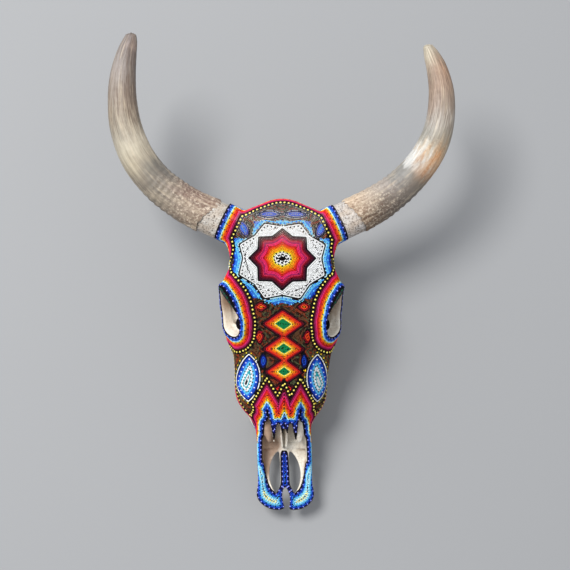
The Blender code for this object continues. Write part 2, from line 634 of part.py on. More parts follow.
def whole_skull(voxel_body, voxel_all):
    body = joined("mass", bone_mass())
    remeshed(body, voxel_body)
    smoothed(body, 0.5, 5)
    for tool in cavities() + both(temporal_gap()):
        boolean(body, tool, 'DIFFERENCE')
    detail = joined("detail", fine_bones())
    remeshed(detail, 0.0016)
    for tool in both(palatine_fissure("fissure")) + [incisive_gap("gap")]:
        boolean(body, tool, 'DIFFERENCE', keep=True)
        boolean(detail, tool, 'DIFFERENCE')
    skull = joined("skull", [body, detail] + teeth())
    remeshed(skull, voxel_all)
    smoothed(skull, 0.5, 2)
    return skull


def skew_x(x, y, z):
    """The slight natural crookedness of this skull: the snout turns to +X, the face leans to -X."""
    turn = SNOUT_TURN * (0.5 * (math.hypot(0.03 - y, 0.02) + (0.03 - y)) - 0.0050)
    lean = FACE_LEAN * math.exp(-((y + 0.15) / 0.065) ** 2) * (0.150 - z)
    return x + turn - lean - 0.0015 * math.exp(-((y + 0.025) / 0.045) ** 2)


def skew(obj):
    for v in obj.data.vertices:
        v.co.x = skew_x(*v.co)
    return obj


# ------------------------------------------------------------------ vomer
def vomer():
    """Thin trough of bone that stands on the palate under the nasal bones."""
    rows = smooth_table(((-0.2460, 0.0028, 0.0560, 0.0436), (-0.2360, 0.0040, 0.0640, 0.0438),
                         (-0.2150, 0.0046, 0.0740, 0.0442), (-0.1700, 0.0044, 0.0860, 0.0474)), 7)
    rings = []
    wall = 0.0011
    for y, half, top, low in rows:
        outer = [(-half - wall, top), (-half * 0.72 - wall, low + (top - low) * 0.55), (-0.0022 - wall, low + 0.004),
                 (-0.0034, low), (0.0034, low), (0.0022 + wall, low + 0.004),
                 (half * 0.72 + wall, low + (top - low) * 0.55), (half + wall, top)]
        inner = [(half - wall, top), (half * 0.72 - wall, low + (top - low) * 0.55), (0.0010, low + 0.006),
                 (-0.0010, low + 0.006), (-half * 0.72 + wall, low + (top - low) * 0.55), (-half + wall, top)]
        rings.append([(x, y, z) for x, z in outer + inner])
    bm = bmesh.new()
    made = [[bm.verts.new(q) for q in ring] for ring in rings]
    n = len(made[0])
    for a, b in zip(made, made[1:]):
        for i in range(n):
            bm.faces.new((a[i], a[(i + 1) % n], b[(i + 1) % n], b[i]))
    bm.faces.new(made[0])
    bm.faces.new(made[-1])
    bmesh.ops.triangulate(bm, faces=[f for f in bm.faces if len(f.verts) > 4])
    return mesh_object("vomer", bm)


# ------------------------------------------------------------------ horns
def horn_rings(rows, start, stop, steps, count, grow=0.0, tip=False):
    """Rings along a horn between two arc lengths."""
    fine, run = spline(rows, 160)
    out = []
    for at in np.linspace(start, stop, steps):
        p = [float(np.interp(at, run, fine[:, k])) for k in range(4)]
        a = Vector([float(np.interp(max(at - 0.004, 0), run, fine[:, k])) for k in range(3)])
        b = Vector([float(np.interp(min(at + 0.004, run[-1]), run, fine[:, k])) for k in range(3)])
        t = (b - a).normalized()
        side = t.cross(Vector((0, 0, 1))).normalized()
        out.append((Vector(p[:3]), t, side, side.cross(t).normalized(), p[3] + grow))
    rings = [[c + side * (r * math.cos(2 * math.pi * k / count)) + over * (0.93 * r * math.sin(2 * math.pi * k / count))
              for k in range(count)] for c, t, side, over, r in out]
    if tip:
        c, t, side, over, r = out[-1]
        for k in (0.80, 0.45):
            rings.append([c + t * r * math.sqrt(1 - k * k) * 0.8
                          + side * (k * r * math.cos(2 * math.pi * i / count))
                          + over * (k * r * math.sin(2 * math.pi * i / count)) for i in range(count)])
    return rings


def horn(side, rows):
    """Bare horn core with the peg that carries the sheath, and the hollow-mouthed sheath."""
    total = float(spline(rows, 160)[1][-1])
    core = horn_rings(rows, GAP / 2, CORE_SHOWS, 5, HORN_SIDES)
    core += horn_rings(rows, CORE_SHOWS + 0.0006, CORE_SHOWS + SOCKET, 3, HORN_SIDES, grow=-PEG_STEP)
    core = rings_object("horn_core_" + side, core)
    sheath = rings_object("horn_" + side, horn_rings(rows, CORE_SHOWS + 0.0009, total, 26, HORN_SIDES,
                                                     grow=0.0006, tip=True))
    mouth = rings_object("mouth", horn_rings(rows, CORE_SHOWS - 0.004, CORE_SHOWS + SOCKET + 0.0008, 4, HORN_SIDES,
                                             grow=0.0007 - PEG_STEP))
    boolean(sheath, mouth, 'DIFFERENCE')
    return core, sheath


def horn_base(rows):
    """Point and direction of a horn where it leaves the frontal bone."""
    a, b = Vector(rows[0][:3]), Vector(rows[1][:3])
    return a, (b - a).normalized()


# ------------------------------------------------------------------ parting
def half_space(name, point, normal, size=0.8):
    turn = Vector((0, 0, 1)).rotation_difference(Vector(normal).normalized()).to_matrix().to_4x4()
    return block(name, (-size, -size, 0), (size, size, size), Matrix.Translation(point) @ turn)


def split(obj, name_a, name_b, point, normal):
    """Part an object by a plane: a is on the side that the normal points to."""
    n = Vector(normal).normalized()
    p = Vector(point)
    a = copied(obj, name_a)
    boolean(a, half_space("h", p + n * (GAP / 2), n), 'INTERSECT')
    b = copied(obj, name_b)
    boolean(b, half_space("h", p - n * (GAP / 2), -n), 'INTERSECT')
    drop(obj)
    return a, b


def taken(obj, name, region, region_grown):
    """Take from an object what lies in a region; the rest keeps clear of it by the gap."""
    piece = copied(obj, name)
    boolean(piece, region, 'INTERSECT')
    boolean(obj, region_grown, 'DIFFERENCE')
    return piece


def nasal_region(name, grow):
    """Space of the nasal bones, from their sutures up."""
    rows = [(y, half + 0.0004 + grow, top + 0.02, top - fall - thick - 0.0008 - grow)
            for y, half, top, fall, thick in NASAL]
    rows[0] = (rows[0][0] + grow,) + rows[0][1:]
    rows[-1] = (rows[-1][0] - 0.01,) + rows[-1][1:]
    return rings_object(name, [[(skew_x(x, y, z), y, z) for x, z in ((-h, low), (h, low), (h, high), (-h, high))]
                               for y, h, high, low in smooth_table(rows, 30)])


def cheek_region(name, side, grow):
    """Space of one zygomatic bone, under the frontal bone's parting plane."""
    x0, x1, y0, y1, low = 0.060 - grow, 0.130, -0.108 - grow, 0.008 + grow, 0.070 - grow
    top = lambda y: PARTING_Z - PARTING_TILT * y - GAP / 2 + grow
    plan = ((x0, y0), (x1, y0), (x1, y1), (x0, y1))
    bm = bmesh.new()
    a = [bm.verts.new((side * x, y, low)) for x, y in plan]
    b = [bm.verts.new((side * x, y, top(y))) for x, y in plan]
    bm.faces.new(a)
    bm.faces.new(b)
    for i in range(4):
        bm.faces.new((a[i], a[(i + 1) % 4], b[(i + 1) % 4], b[i]))
    return mesh_object(name, bm)


def bodies_of(obj):
    """Vertex index lists of an object's connected bodies, largest first."""
    mesh = obj.data
    near = [[] for _ in mesh.vertices]
    for e in mesh.edges:
        a, b = e.vertices
        near[a].append(b)
        near[b].append(a)
    seen = [False] * len(near)
    found = []
    for start in range(len(near)):
        if seen[start]:
            continue
        seen[start] = True
        stack, group = [start], []
        while stack:
            v = stack.pop()
            group.append(v)
            for w in near[v]:
                if not seen[w]:
                    seen[w] = True
                    stack.append(w)
        found.append(group)
    return sorted(found, key=len, reverse=True)


def body_only(obj, name, group):
    """A new object that holds one connected body of another."""
    wanted = set(group)
    bm = bmesh.new()
    bm.from_mesh(obj.data)
    bm.verts.ensure_lookup_table()
    bmesh.ops.delete(bm, geom=[v for v in bm.verts if v.index not in wanted], context='VERTS')
    return mesh_object_keep(name, bm)


def largest_only(obj):
    groups = bodies_of(obj)
    if len(groups) > 1:
        name = obj.name
        obj.name = "old"
        kept = body_only(obj, name, groups[0])
        drop(obj)
        return kept
    return obj


def median_blade(name, y0, y1, z0, z1, cells=12):
    """Sheet as thick as the gap along the skewed median plane."""
    def side(k):
        return [[bm.verts.new((skew_x(k * GAP / 2, y, z), y, z)) for z in np.linspace(z0, z1, 5)]
                for y in np.linspace(y0, y1, cells)]
    bm = bmesh.new()
    a, b = side(-1), side(1)
    for g in (a, b):
        for i in range(len(g) - 1):
            for k in range(len(g[0]) - 1):
                bm.faces.new((g[i][k], g[i + 1][k], g[i + 1][k + 1], g[i][k + 1]))
    m, n = len(a) - 1, len(a[0]) - 1
    for i in range(m):
        for k in (0, n):
            bm.faces.new((a[i][k], a[i + 1][k], b[i + 1][k], b[i][k]))
    for k in range(n):
        for i in (0, m):
            bm.faces.new((a[i][k], a[i][k + 1], b[i][k + 1], b[i][k]))
    return mesh_object(name, bm)


def halved(obj, name, y0, y1, z0, z1):
    """Part an object by the median blade into its left and right bodies."""
    boolean(obj, median_blade("blade", y0, y1, z0, z1), 'DIFFERENCE')
    groups = bodies_of(obj)[:2]
    mean = [sum(obj.data.vertices[v].co.x for v in g) / len(g) for g in groups]
    left, right = (0, 1) if mean[0] > mean[1] else (1, 0)
    out = [body_only(obj, name + "_left", groups[left]), body_only(obj, name + "_right", groups[right])]
    drop(obj)
    return out


def parted(skull):
    """The skull's bones, each a body of its own."""
    bones = []
    for rows in (HORN_RIGHT, HORN_LEFT):
        at, way = horn_base(rows)
        boolean(skull, half_space("h", at - way * (GAP / 2), way), 'DIFFERENCE')
    nasals = taken(skull, "nasals", nasal_region("n", 0.0), nasal_region("n", GAP))
    bones += halved(nasals, "nasal", -0.26, -0.05, 0.08, 0.19)
    for side, word in ((1, "left"), (-1, "right")):
        bones.append(taken(skull, "zygomatic_" + word, cheek_region("z", side, 0.0), cheek_region("z", side, GAP)))
    snout, skull = split(skull, "snout", "rest", (0, -0.234, 0.050), (0, -1, 0.45))
    bones += halved(snout, "premaxilla", -0.36, -0.20, 0.0, 0.11)
    jaw, skull = split(skull, "jaw", "rest", (0, -0.055, 0.020), (0, -1, -0.25))
    bones += halved(jaw, "maxilla", -0.26, -0.04, -0.01, 0.18)
    frontal, skull = split(skull, "frontal", "rest", (0, 0, PARTING_Z), (0, PARTING_TILT, 1))
    bones.append(frontal)
    bones += split(skull, "occipital", "braincase", (0, OCCIPUT_Y, 0), (0, 1, 0))
    bones.append(skew(vomer()))
    return [largest_only(b) for b in bones]


# ------------------------------------------------------------------ finish
FINISHES = {
    "bone": ((0.62, 0.56, 0.46, 1.0), 0.60),
    "core": ((0.66, 0.60, 0.52, 1.0), 0.85),
    "horn": ((0.30, 0.24, 0.18, 1.0), 0.50),
}


def painted(obj, kind):
    colour, rough = FINISHES[kind]
    m = bpy.data.materials.new(obj.name + "_finish")
    m.use_nodes = True
    p = m.node_tree.nodes["Principled BSDF"]
    p.inputs["Base Color"].default_value = colour
    p.inputs["Roughness"].default_value = rough
    p.inputs["Metallic"].default_value = 0.0
    obj.data.materials.clear()
    obj.data.materials.append(m)


def settled_under(obj, parent):
    """Give an object its own origin at its middle, and hang it on the parent."""
    co = np.empty(len(obj.data.vertices) * 3)
    obj.data.vertices.foreach_get("co", co)
    co = co.reshape(-1, 3)
    mid = np.round((co.min(0) + co.max(0)) / 2, 4)
    obj.data.vertices.foreach_set("co", (co - mid).ravel())
    obj.data.update()
    obj.location = mid
    obj.parent = parent


def box_of(objs):
    co = np.array([tuple(v.co) for o in objs for v in o.data.vertices])
    return co.min(0), co.max(0)


def build():
    for o in list(bpy.data.objects):
        bpy.data.objects.remove(o)
    skull = whole_skull(VOXEL_BODY, VOXEL_ALL)
    skull = largest_only(skull)
    skew(skull)
    thinned(skull, SKULL_TRIS)
    boolean(skull, half_space("floor", (0, 0, 0), (0, 0, -1)), 'DIFFERENCE')
    made = [(b, "bone") for b in parted(skull)]
    for side, rows in (("right", HORN_RIGHT), ("left", HORN_LEFT)):
        core, sheath = horn(side, rows)
        made += [(core, "core"), (sheath, "horn")]
    low, high = box_of([o for o, _ in made])
    base = bpy.data.objects.new("cow_skull", None)
    bpy.context.scene.collection.objects.link(base)
    base.location = (-(low[0] + high[0]) / 2, -(low[1] + high[1]) / 2, -low[2])
    for obj, kind in made:
        painted(obj, kind)
        settled_under(obj, base)
        if kind != "bone":
            obj.data.shade_smooth()
            obj.data.set_sharp_from_angle(angle=math.radians(40))
    return base, made


base, made = build()
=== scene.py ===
"""Looks of the beaded cow skull: fine bones, teeth, horn cores, horn sheaths and the glass beads."""
import json
import math
import bpy
import bmesh
import numpy as np
from mathutils import Matrix, Vector
from mathutils.bvhtree import BVHTree
from mathutils.kdtree import KDTree
from mathutils.noise import noise as flow

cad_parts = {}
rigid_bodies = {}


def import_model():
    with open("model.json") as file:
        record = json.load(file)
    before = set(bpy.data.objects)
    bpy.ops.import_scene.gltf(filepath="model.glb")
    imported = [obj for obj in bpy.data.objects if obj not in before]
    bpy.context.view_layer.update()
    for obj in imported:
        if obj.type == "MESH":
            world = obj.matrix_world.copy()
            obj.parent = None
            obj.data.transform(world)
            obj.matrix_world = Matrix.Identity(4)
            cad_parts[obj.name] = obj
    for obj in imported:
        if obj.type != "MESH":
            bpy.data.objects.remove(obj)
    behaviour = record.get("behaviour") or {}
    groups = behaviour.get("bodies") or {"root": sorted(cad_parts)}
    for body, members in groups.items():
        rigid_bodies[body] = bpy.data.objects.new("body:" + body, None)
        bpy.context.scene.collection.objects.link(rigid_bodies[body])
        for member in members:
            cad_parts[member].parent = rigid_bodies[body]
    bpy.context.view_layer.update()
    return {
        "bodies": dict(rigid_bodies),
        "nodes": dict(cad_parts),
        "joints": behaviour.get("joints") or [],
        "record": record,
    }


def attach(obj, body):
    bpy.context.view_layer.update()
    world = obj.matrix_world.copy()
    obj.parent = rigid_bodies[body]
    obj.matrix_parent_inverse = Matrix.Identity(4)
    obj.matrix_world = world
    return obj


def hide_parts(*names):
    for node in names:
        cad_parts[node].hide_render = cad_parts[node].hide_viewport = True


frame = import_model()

SHIFT = Vector((0.000987, -0.018031, 0.0))   # from the drawing frame, about the median plane, to the row frame

# ------------------------------------------------------------------ sizes, in metres
GAP = 0.0003                 # clearance between neighbouring bones
POLL_Y = 0.1300              # rear edge of the intercornual ridge
PARTING_Z = 0.132            # frontal bone above this height at y = 0
PARTING_TILT = 0.12          # fall of that plane towards the poll
OCCIPUT_Y = 0.071            # occipital bone behind this plane
SNOUT_TURN = 0.0245          # sideways lean of the snout, per metre of length
FACE_LEAN = 0.050            # sideways lean of the cheeks, per metre of height
NASAL_TIP_Y = -0.2385        # front of the lateral prongs
TOOTH_FRONT_Y = -0.198       # front of the first premolar
TOOTH_LENGTHS = (0.0160, 0.0190, 0.0185, 0.0240, 0.0270, 0.0290)
TOOTH_WIDTHS = (0.0130, 0.0165, 0.0185, 0.0225, 0.0240, 0.0225)
ORBIT_CENTRE = (0.0747, -0.0429, 0.1415)
ORBIT_FACING = (0.883, -0.255, 0.392)      # outward normal of the left rim; the right is its mirror image
ORBIT_LONG = 0.0375          # half length of the rim, front to back
ORBIT_HIGH = 0.0315          # half height of the rim
ORBIT_BROW = ((0, 0.0030), (20, 0.0015), (40, 0.0), (80, 0.0), (95, 0.0025), (110, 0.0062), (125, 0.0090), (140, 0.0085),
              (155, 0.0086), (170, 0.0080), (185, 0.0078), (200, 0.0078), (225, 0.0076), (246, 0.0076), (260, 0.0085),
              (269, 0.0100), (286, 0.0118), (300, 0.0118), (315, 0.0102), (335, 0.0064), (350, 0.0042), (360, 0.0030))
ROOF = (
    (-0.094, 0.036, 0.1545, 0.140, 0.118),
    (-0.080, 0.046, 0.1610, 0.150, 0.122),
    (-0.066, 0.057, 0.1670, 0.158, 0.128),
    (-0.052, 0.0710, 0.1725, 0.165, 0.134),
    (-0.036, 0.0810, 0.1770, 0.167, 0.138),
    (-0.020, 0.0880, 0.1805, 0.163, 0.138),
    (-0.006, 0.0910, 0.1835, 0.158, 0.136),
    (0.004, 0.0895, 0.1850, 0.157, 0.134),
    (0.016, 0.0835, 0.1860, 0.158, 0.134),
    (0.030, 0.0800, 0.1868, 0.159, 0.135),
    (0.044, 0.0805, 0.1870, 0.158, 0.134),
    (0.058, 0.0855, 0.1870, 0.156, 0.130),
    (0.074, 0.0900, 0.1868, 0.155, 0.124),
    (0.090, 0.0850, 0.1870, 0.155, 0.120),
    (0.104, 0.0700, 0.1880, 0.157, 0.122),
    (0.113, 0.0540, 0.1865, 0.160, 0.128),
    (0.120, 0.0360, 0.1835, 0.160, 0.136),
    (0.126, 0.0240, 0.1790, 0.160, 0.144),
    (POLL_Y, 0.0100, 0.1710, 0.160, 0.152),
)
CORE = (
    (-0.100, 0.048, 0.145, 0.100, 0.050),
    (-0.075, 0.044, 0.160, 0.110, 0.056),
    (-0.045, 0.032, 0.168, 0.115, 0.064),
    (-0.015, 0.030, 0.172, 0.115, 0.064),
    (0.015, 0.042, 0.175, 0.112, 0.060),
    (0.045, 0.055, 0.176, 0.112, 0.056),
    (0.070, 0.066, 0.176, 0.110, 0.054),
    (0.090, 0.068, 0.172, 0.110, 0.056),
    (0.103, 0.052, 0.165, 0.112, 0.066),
)
FACE = (
    (-0.078, 0.0700, 0.1560, 0.1130, 0.058),
    (-0.090, 0.0760, 0.1540, 0.1060, 0.046),
    (-0.105, 0.0752, 0.1500, 0.0960, 0.038),
    (-0.120, 0.0735, 0.1460, 0.0860, 0.034),
    (-0.140, 0.0722, 0.1390, 0.0740, 0.031),
    (-0.158, 0.0722, 0.1320, 0.0680, 0.030),
    (-0.172, 0.0695, 0.1265, 0.0670, 0.030),
    (-0.186, 0.0620, 0.1200, 0.0660, 0.031),
    (-0.200, 0.0505, 0.1080, 0.0640, 0.031),
    (-0.214, 0.0440, 0.0930, 0.0600, 0.031),
    (-0.230, 0.0425, 0.0800, 0.0560, 0.031),
    (-0.248, 0.0425, 0.0680, 0.0500, 0.031),
)
NASAL = (
    (-0.086, 0.0230, 0.1592, 0.0050, 0.0120),
    (-0.110, 0.0262, 0.1530, 0.0062, 0.0110),
    (-0.140, 0.0272, 0.1430, 0.0070, 0.0090),
    (-0.170, 0.0266, 0.1318, 0.0074, 0.0070),
    (-0.196, 0.0248, 0.1210, 0.0076, 0.0055),
    (-0.215, 0.0222, 0.1130, 0.0070, 0.0048),
    (-0.240, 0.0185, 0.1030, 0.0050, 0.0040),
)
HORN_RIGHT = (
    (-0.0930, 0.0963, 0.1540, 0.0294), (-0.1170, 0.1072, 0.1545, 0.0288),
    (-0.1490, 0.1228, 0.1580, 0.0280), (-0.1900, 0.1520, 0.1670, 0.0264),
    (-0.2220, 0.1900, 0.1780, 0.0258), (-0.2405, 0.2340, 0.1880, 0.0244),
    (-0.2467, 0.2770, 0.1970, 0.0216), (-0.2455, 0.3140, 0.2060, 0.0190),
    (-0.2403, 0.3440, 0.2140, 0.0150), (-0.2350, 0.3625, 0.2205, 0.0110),
    (-0.2325, 0.3720, 0.2240, 0.0076),
)
HORN_LEFT = (
    (0.0905, 0.0966, 0.1540, 0.0290), (0.1135, 0.1076, 0.1545, 0.0292),
    (0.1440, 0.1235, 0.1580, 0.0284), (0.1820, 0.1495, 0.1670, 0.0256),
    (0.2148, 0.1838, 0.1780, 0.0240), (0.2362, 0.2210, 0.1860, 0.0228),
    (0.2450, 0.2570, 0.1940, 0.0210), (0.2452, 0.2940, 0.2020, 0.0188),
    (0.2380, 0.3255, 0.2100, 0.0154), (0.2287, 0.3470, 0.2175, 0.0112),
    (0.2225, 0.3590, 0.2225, 0.0068),
)
CORE_SHOWS = 0.030           # bare horn core between the frontal bone and the sheath
SOCKET = 0.022               # how far the core runs into the sheath
PEG_STEP = 0.0060            # how much thinner the core is inside the sheath


# ------------------------------------------------------------------ shapes of the skull
def smooth_table(rows, steps):
    """Rows of numbers against their first column, resampled by a monotone cubic."""
    a = np.array(rows, dtype=float)
    t = a[:, 0]
    out_t = np.linspace(t[0], t[-1], steps)
    return np.column_stack([out_t] + [monotone(t, a[:, k], out_t) for k in range(1, a.shape[1])])


def monotone(t, v, at):
    t = np.asarray(t, float)
    v = np.asarray(v, float)
    if t[0] > t[-1]:
        t, v = t[::-1], v[::-1]
    h = np.diff(t)
    d = np.diff(v) / h
    m = np.zeros(len(t))
    for i in range(1, len(t) - 1):
        if d[i - 1] * d[i] > 0:
            w1 = 2 * h[i] + h[i - 1]
            w2 = h[i] + 2 * h[i - 1]
            m[i] = (w1 + w2) / (w1 / d[i - 1] + w2 / d[i])
    m[0], m[-1] = d[0], d[-1]
    i = np.clip(np.searchsorted(t, at) - 1, 0, len(t) - 2)
    s = (at - t[i]) / h[i]
    return ((2 * s**3 - 3 * s**2 + 1) * v[i] + (s**3 - 2 * s**2 + s) * h[i] * m[i]
            + (-2 * s**3 + 3 * s**2) * v[i + 1] + (s**3 - s**2) * h[i] * m[i + 1])


def spline(points, steps):
    """Catmull-Rom through rows of any width, evenly spaced by arc length of x, y, z."""
    p = np.array(points, float)
    p = np.vstack([2 * p[0] - p[1], p, 2 * p[-1] - p[-2]])
    fine = []
    for i in range(1, len(p) - 2):
        for s in np.linspace(0, 1, 24, endpoint=False):
            fine.append(0.5 * ((2 * p[i]) + (-p[i - 1] + p[i + 1]) * s
                        + (2 * p[i - 1] - 5 * p[i] + 4 * p[i + 1] - p[i + 2]) * s**2
                        + (-p[i - 1] + 3 * p[i] - 3 * p[i + 1] + p[i + 2]) * s**3))
    fine.append(p[-2])
    fine = np.array(fine)
    run = np.concatenate([[0], np.cumsum(np.linalg.norm(np.diff(fine[:, :3], axis=0), axis=1))])
    at = np.linspace(0, run[-1], steps)
    return np.column_stack([np.interp(at, run, fine[:, k]) for k in range(fine.shape[1])]), at


def mesh_object(name, bm):
    mesh = bpy.data.meshes.new(name)
    bmesh.ops.recalc_face_normals(bm, faces=bm.faces)
    bm.to_mesh(mesh)
    bm.free()
    obj = bpy.data.objects.new(name, mesh)
    bpy.context.scene.collection.objects.link(obj)
    return obj


def rings_object(name, rings):
    """A closed solid bridged through rings of equal count, with fanned ends."""
    bm = bmesh.new()
    rows = [[bm.verts.new(p) for p in ring] for ring in rings]
    n = len(rows[0])
    for a, b in zip(rows, rows[1:]):
        for i in range(n):
            bm.faces.new((a[i], a[(i + 1) % n], b[(i + 1) % n], b[i]))
    for row in (rows[0], rows[-1]):
        centre = bm.verts.new(sum((v.co for v in row), Vector()) / n)
        for i in range(n):
            bm.faces.new((row[i], row[(i + 1) % n], centre))
    return mesh_object(name, bm)


def section(half, top, wide, bottom, p_top, p_bottom, count):
    pts = []
    for k in range(count):
        t = 2 * math.pi * k / count
        c, s = math.cos(t), math.sin(t)
        p = p_top if s >= 0 else p_bottom
        x = half * math.copysign(abs(c) ** (2 / p), c)
        z = wide + (top - wide if s >= 0 else wide - bottom) * math.copysign(abs(s) ** (2 / p), s)
        pts.append((x, z))
    return pts


def loft(name, rows, p_top=2.3, p_bottom=2.3, steps=48, count=48):
    table = smooth_table(rows, steps)
    return rings_object(name, [[(x, r[0], z) for x, z in section(r[1], r[2], r[3], r[4], p_top, p_bottom, count)]
                               for r in table])


def tube(name, rows, up=(0, 0, 1), steps=24, count=16, round_ends=True):
    """Rows are x, y, z, half width across 'up', half width along 'up'."""
    pts, run = spline(rows, steps)
    up = Vector(up)
    rings = []
    for i, r in enumerate(pts):
        a = Vector(pts[max(i - 1, 0)][:3])
        b = Vector(pts[min(i + 1, len(pts) - 1)][:3])
        t = (b - a).normalized()
        side = t.cross(up).normalized()
        over = side.cross(t).normalized()
        rings.append((Vector(r[:3]), t, side, over, r[3], r[4]))
    out = []
    if round_ends:
        c, t, side, over, wa, wb = rings[0]
        m = min(wa, wb)
        for k in (0.25, 0.6, 0.88):
            out.append((c - t * m * math.sqrt(1 - k * k), side, over, wa * k, wb * k))
    out += [(c, side, over, wa, wb) for c, t, side, over, wa, wb in rings]
    if round_ends:
        c, t, side, over, wa, wb = rings[-1]
        m = min(wa, wb)
        for k in (0.88, 0.6, 0.25):
            out.append((c + t * m * math.sqrt(1 - k * k), side, over, wa * k, wb * k))
    return rings_object(name, [[c + side * (wa * math.cos(2 * math.pi * k / count))
                                + over * (wb * math.sin(2 * math.pi * k / count)) for k in range(count)]
                               for c, side, over, wa, wb in out])


def ellipsoid(name, centre, radii, turn=(0, 0, 0)):
    bm = bmesh.new()
    bmesh.ops.create_icosphere(bm, subdivisions=4, radius=1.0)
    m = (Matrix.Translation(centre) @ Matrix.Rotation(turn[2], 4, 'Z') @ Matrix.Rotation(turn[1], 4, 'Y')
         @ Matrix.Rotation(turn[0], 4, 'X') @ Matrix.Diagonal((*radii, 1)))
    bmesh.ops.transform(bm, matrix=m, verts=bm.verts)
    return mesh_object(name, bm)


def block(name, low, high, matrix=None):
    bm = bmesh.new()
    bmesh.ops.create_cube(bm, size=1.0)
    low, high = Vector(low), Vector(high)
    bmesh.ops.transform(bm, matrix=Matrix.Translation((low + high) / 2) @ Matrix.Diagonal((*(high - low), 1)),
                        verts=bm.verts)
    if matrix is not None:
        bmesh.ops.transform(bm, matrix=matrix, verts=bm.verts)
    return mesh_object(name, bm)


def mirrored(obj, name):
    bm = bmesh.new()
    bm.from_mesh(obj.data)
    bmesh.ops.transform(bm, matrix=Matrix.Diagonal((-1, 1, 1, 1)), verts=bm.verts)
    bmesh.ops.reverse_faces(bm, faces=bm.faces)
    return mesh_object(name, bm)


def both(obj):
    return [obj, mirrored(obj, obj.name + "_m")]


def copied(obj, name):
    twin = bpy.data.objects.new(name, obj.data.copy())
    bpy.context.scene.collection.objects.link(twin)
    return twin


def drop(*objs):
    for o in objs:
        mesh = o.data
        bpy.data.objects.remove(o)
        if mesh.users == 0:
            bpy.data.meshes.remove(mesh)


def joined(name, objs):
    bm = bmesh.new()
    for o in objs:
        bm.from_mesh(o.data)
    drop(*objs)
    return mesh_object_keep(name, bm)


def mesh_object_keep(name, bm):
    mesh = bpy.data.meshes.new(name)
    bm.to_mesh(mesh)
    bm.free()
    obj = bpy.data.objects.new(name, mesh)
    bpy.context.scene.collection.objects.link(obj)
    return obj


def settle(obj):
    """Replace an object's mesh by its evaluated one and clear its modifiers."""
    bpy.context.view_layer.update()
    graph = bpy.context.evaluated_depsgraph_get()
    mesh = bpy.data.meshes.new_from_object(obj.evaluated_get(graph))
    old = obj.data
    obj.modifiers.clear()
    obj.data = mesh
    bpy.data.meshes.remove(old)
    return obj


def remeshed(obj, voxel):
    m = obj.modifiers.new("voxels", 'REMESH')
    m.mode = 'VOXEL'
    m.voxel_size = voxel
    m.adaptivity = 0.0
    return settle(obj)


def smoothed(obj, factor, times):
    m = obj.modifiers.new("smooth", 'SMOOTH')
    m.factor = factor
    m.iterations = times
    return settle(obj)


def orbit_axes():
    n = Vector(ORBIT_FACING).normalized()
    back = Vector((0.277, 0.961, 0.0))
    back = (back - n * back.dot(n)).normalized()
    down = back.cross(n).normalized()
    if down.z > 0:
        down.negate()
    return Vector(ORBIT_CENTRE), n, back, down


def orbit_edge(angle, scale=1.0, extra=0.0, flare=1.0):
    """Point on the orbit's edge: angle 0 is its rear, 90 degrees its lowest point.

    The upper rear quarter reaches further out than the rest, as the roof of the orbit does,
    and so does the brow over the front half."""
    c, n, back, down = orbit_axes()
    out = 0.0085 * max(0.0, math.cos(angle + math.radians(38))) ** 2 - 0.0020 * max(0.0, -math.cos(angle)) ** 2
    brow = float(np.interp(math.degrees(angle) % 360, *zip(*ORBIT_BROW)))
    return (c + back * (ORBIT_LONG * scale + extra) * math.cos(angle)
            + down * (ORBIT_HIGH * scale + extra) * math.sin(angle) + (n * out + Vector((brow, 0, 0))) * flare)


def orbit_rim(name):
    c, n, back, down = orbit_axes()
    count, cross = 48, 12
    bm = bmesh.new()
    rows = []
    for i in range(count):
        a = 2 * math.pi * i / count
        out = back * math.cos(a) + down * math.sin(a)
        low = max(0.0, math.sin(a))
        behind = max(0.0, math.cos(a))
        thick = 0.0046 + 0.0030 * low + 0.0016 * behind + 0.0026 * max(0.0, math.sin(a - 0.7))
        deep = 0.0080 + 0.0008 * behind + 0.0035 * max(0.0, -math.sin(a))
        at = orbit_edge(a, 1.0, 0.004) - n * (0.004 + 0.004 * max(0.0, -math.sin(a)))
        rows.append([bm.verts.new(at + out * thick * math.cos(b) + n * deep * math.sin(b))
                     for b in (2 * math.pi * k / cross for k in range(cross))])
    for i in range(count):
        a, b = rows[i], rows[(i + 1) % count]
        for k in range(cross):
            bm.faces.new((a[k], a[(k + 1) % cross], b[(k + 1) % cross], b[k]))
    return mesh_object(name, bm)


def orbit_cutter(name):
    c, n, back, down = orbit_axes()
    apex = Vector((0.026, 0.004, 0.122))
    line = [(c + n * 0.045, 1.20, 1.0), (c + n * 0.014, 1.06, 1.0), (c, 0.985, 1.0), (c - n * 0.010, 0.98, 0.9),
            (c.lerp(apex, 0.42), 0.82, 0.4), (c.lerp(apex, 0.70), 0.55, 0.1), (apex, 0.22, 0.0)]
    count = 32
    rings = []
    for at, k, flare in line:
        rings.append([orbit_edge(2 * math.pi * i / count, k, 0.0, flare) + (at - c) for i in range(count)])
    return rings_object(name, rings)


def tooth_x(y):
    """Distance of the tooth row from the median plane."""
    t = (y - TOOTH_FRONT_Y) / sum(TOOTH_LENGTHS)
    return 0.0425 + 0.0150 * t ** 0.75 if t > 0 else 0.0425


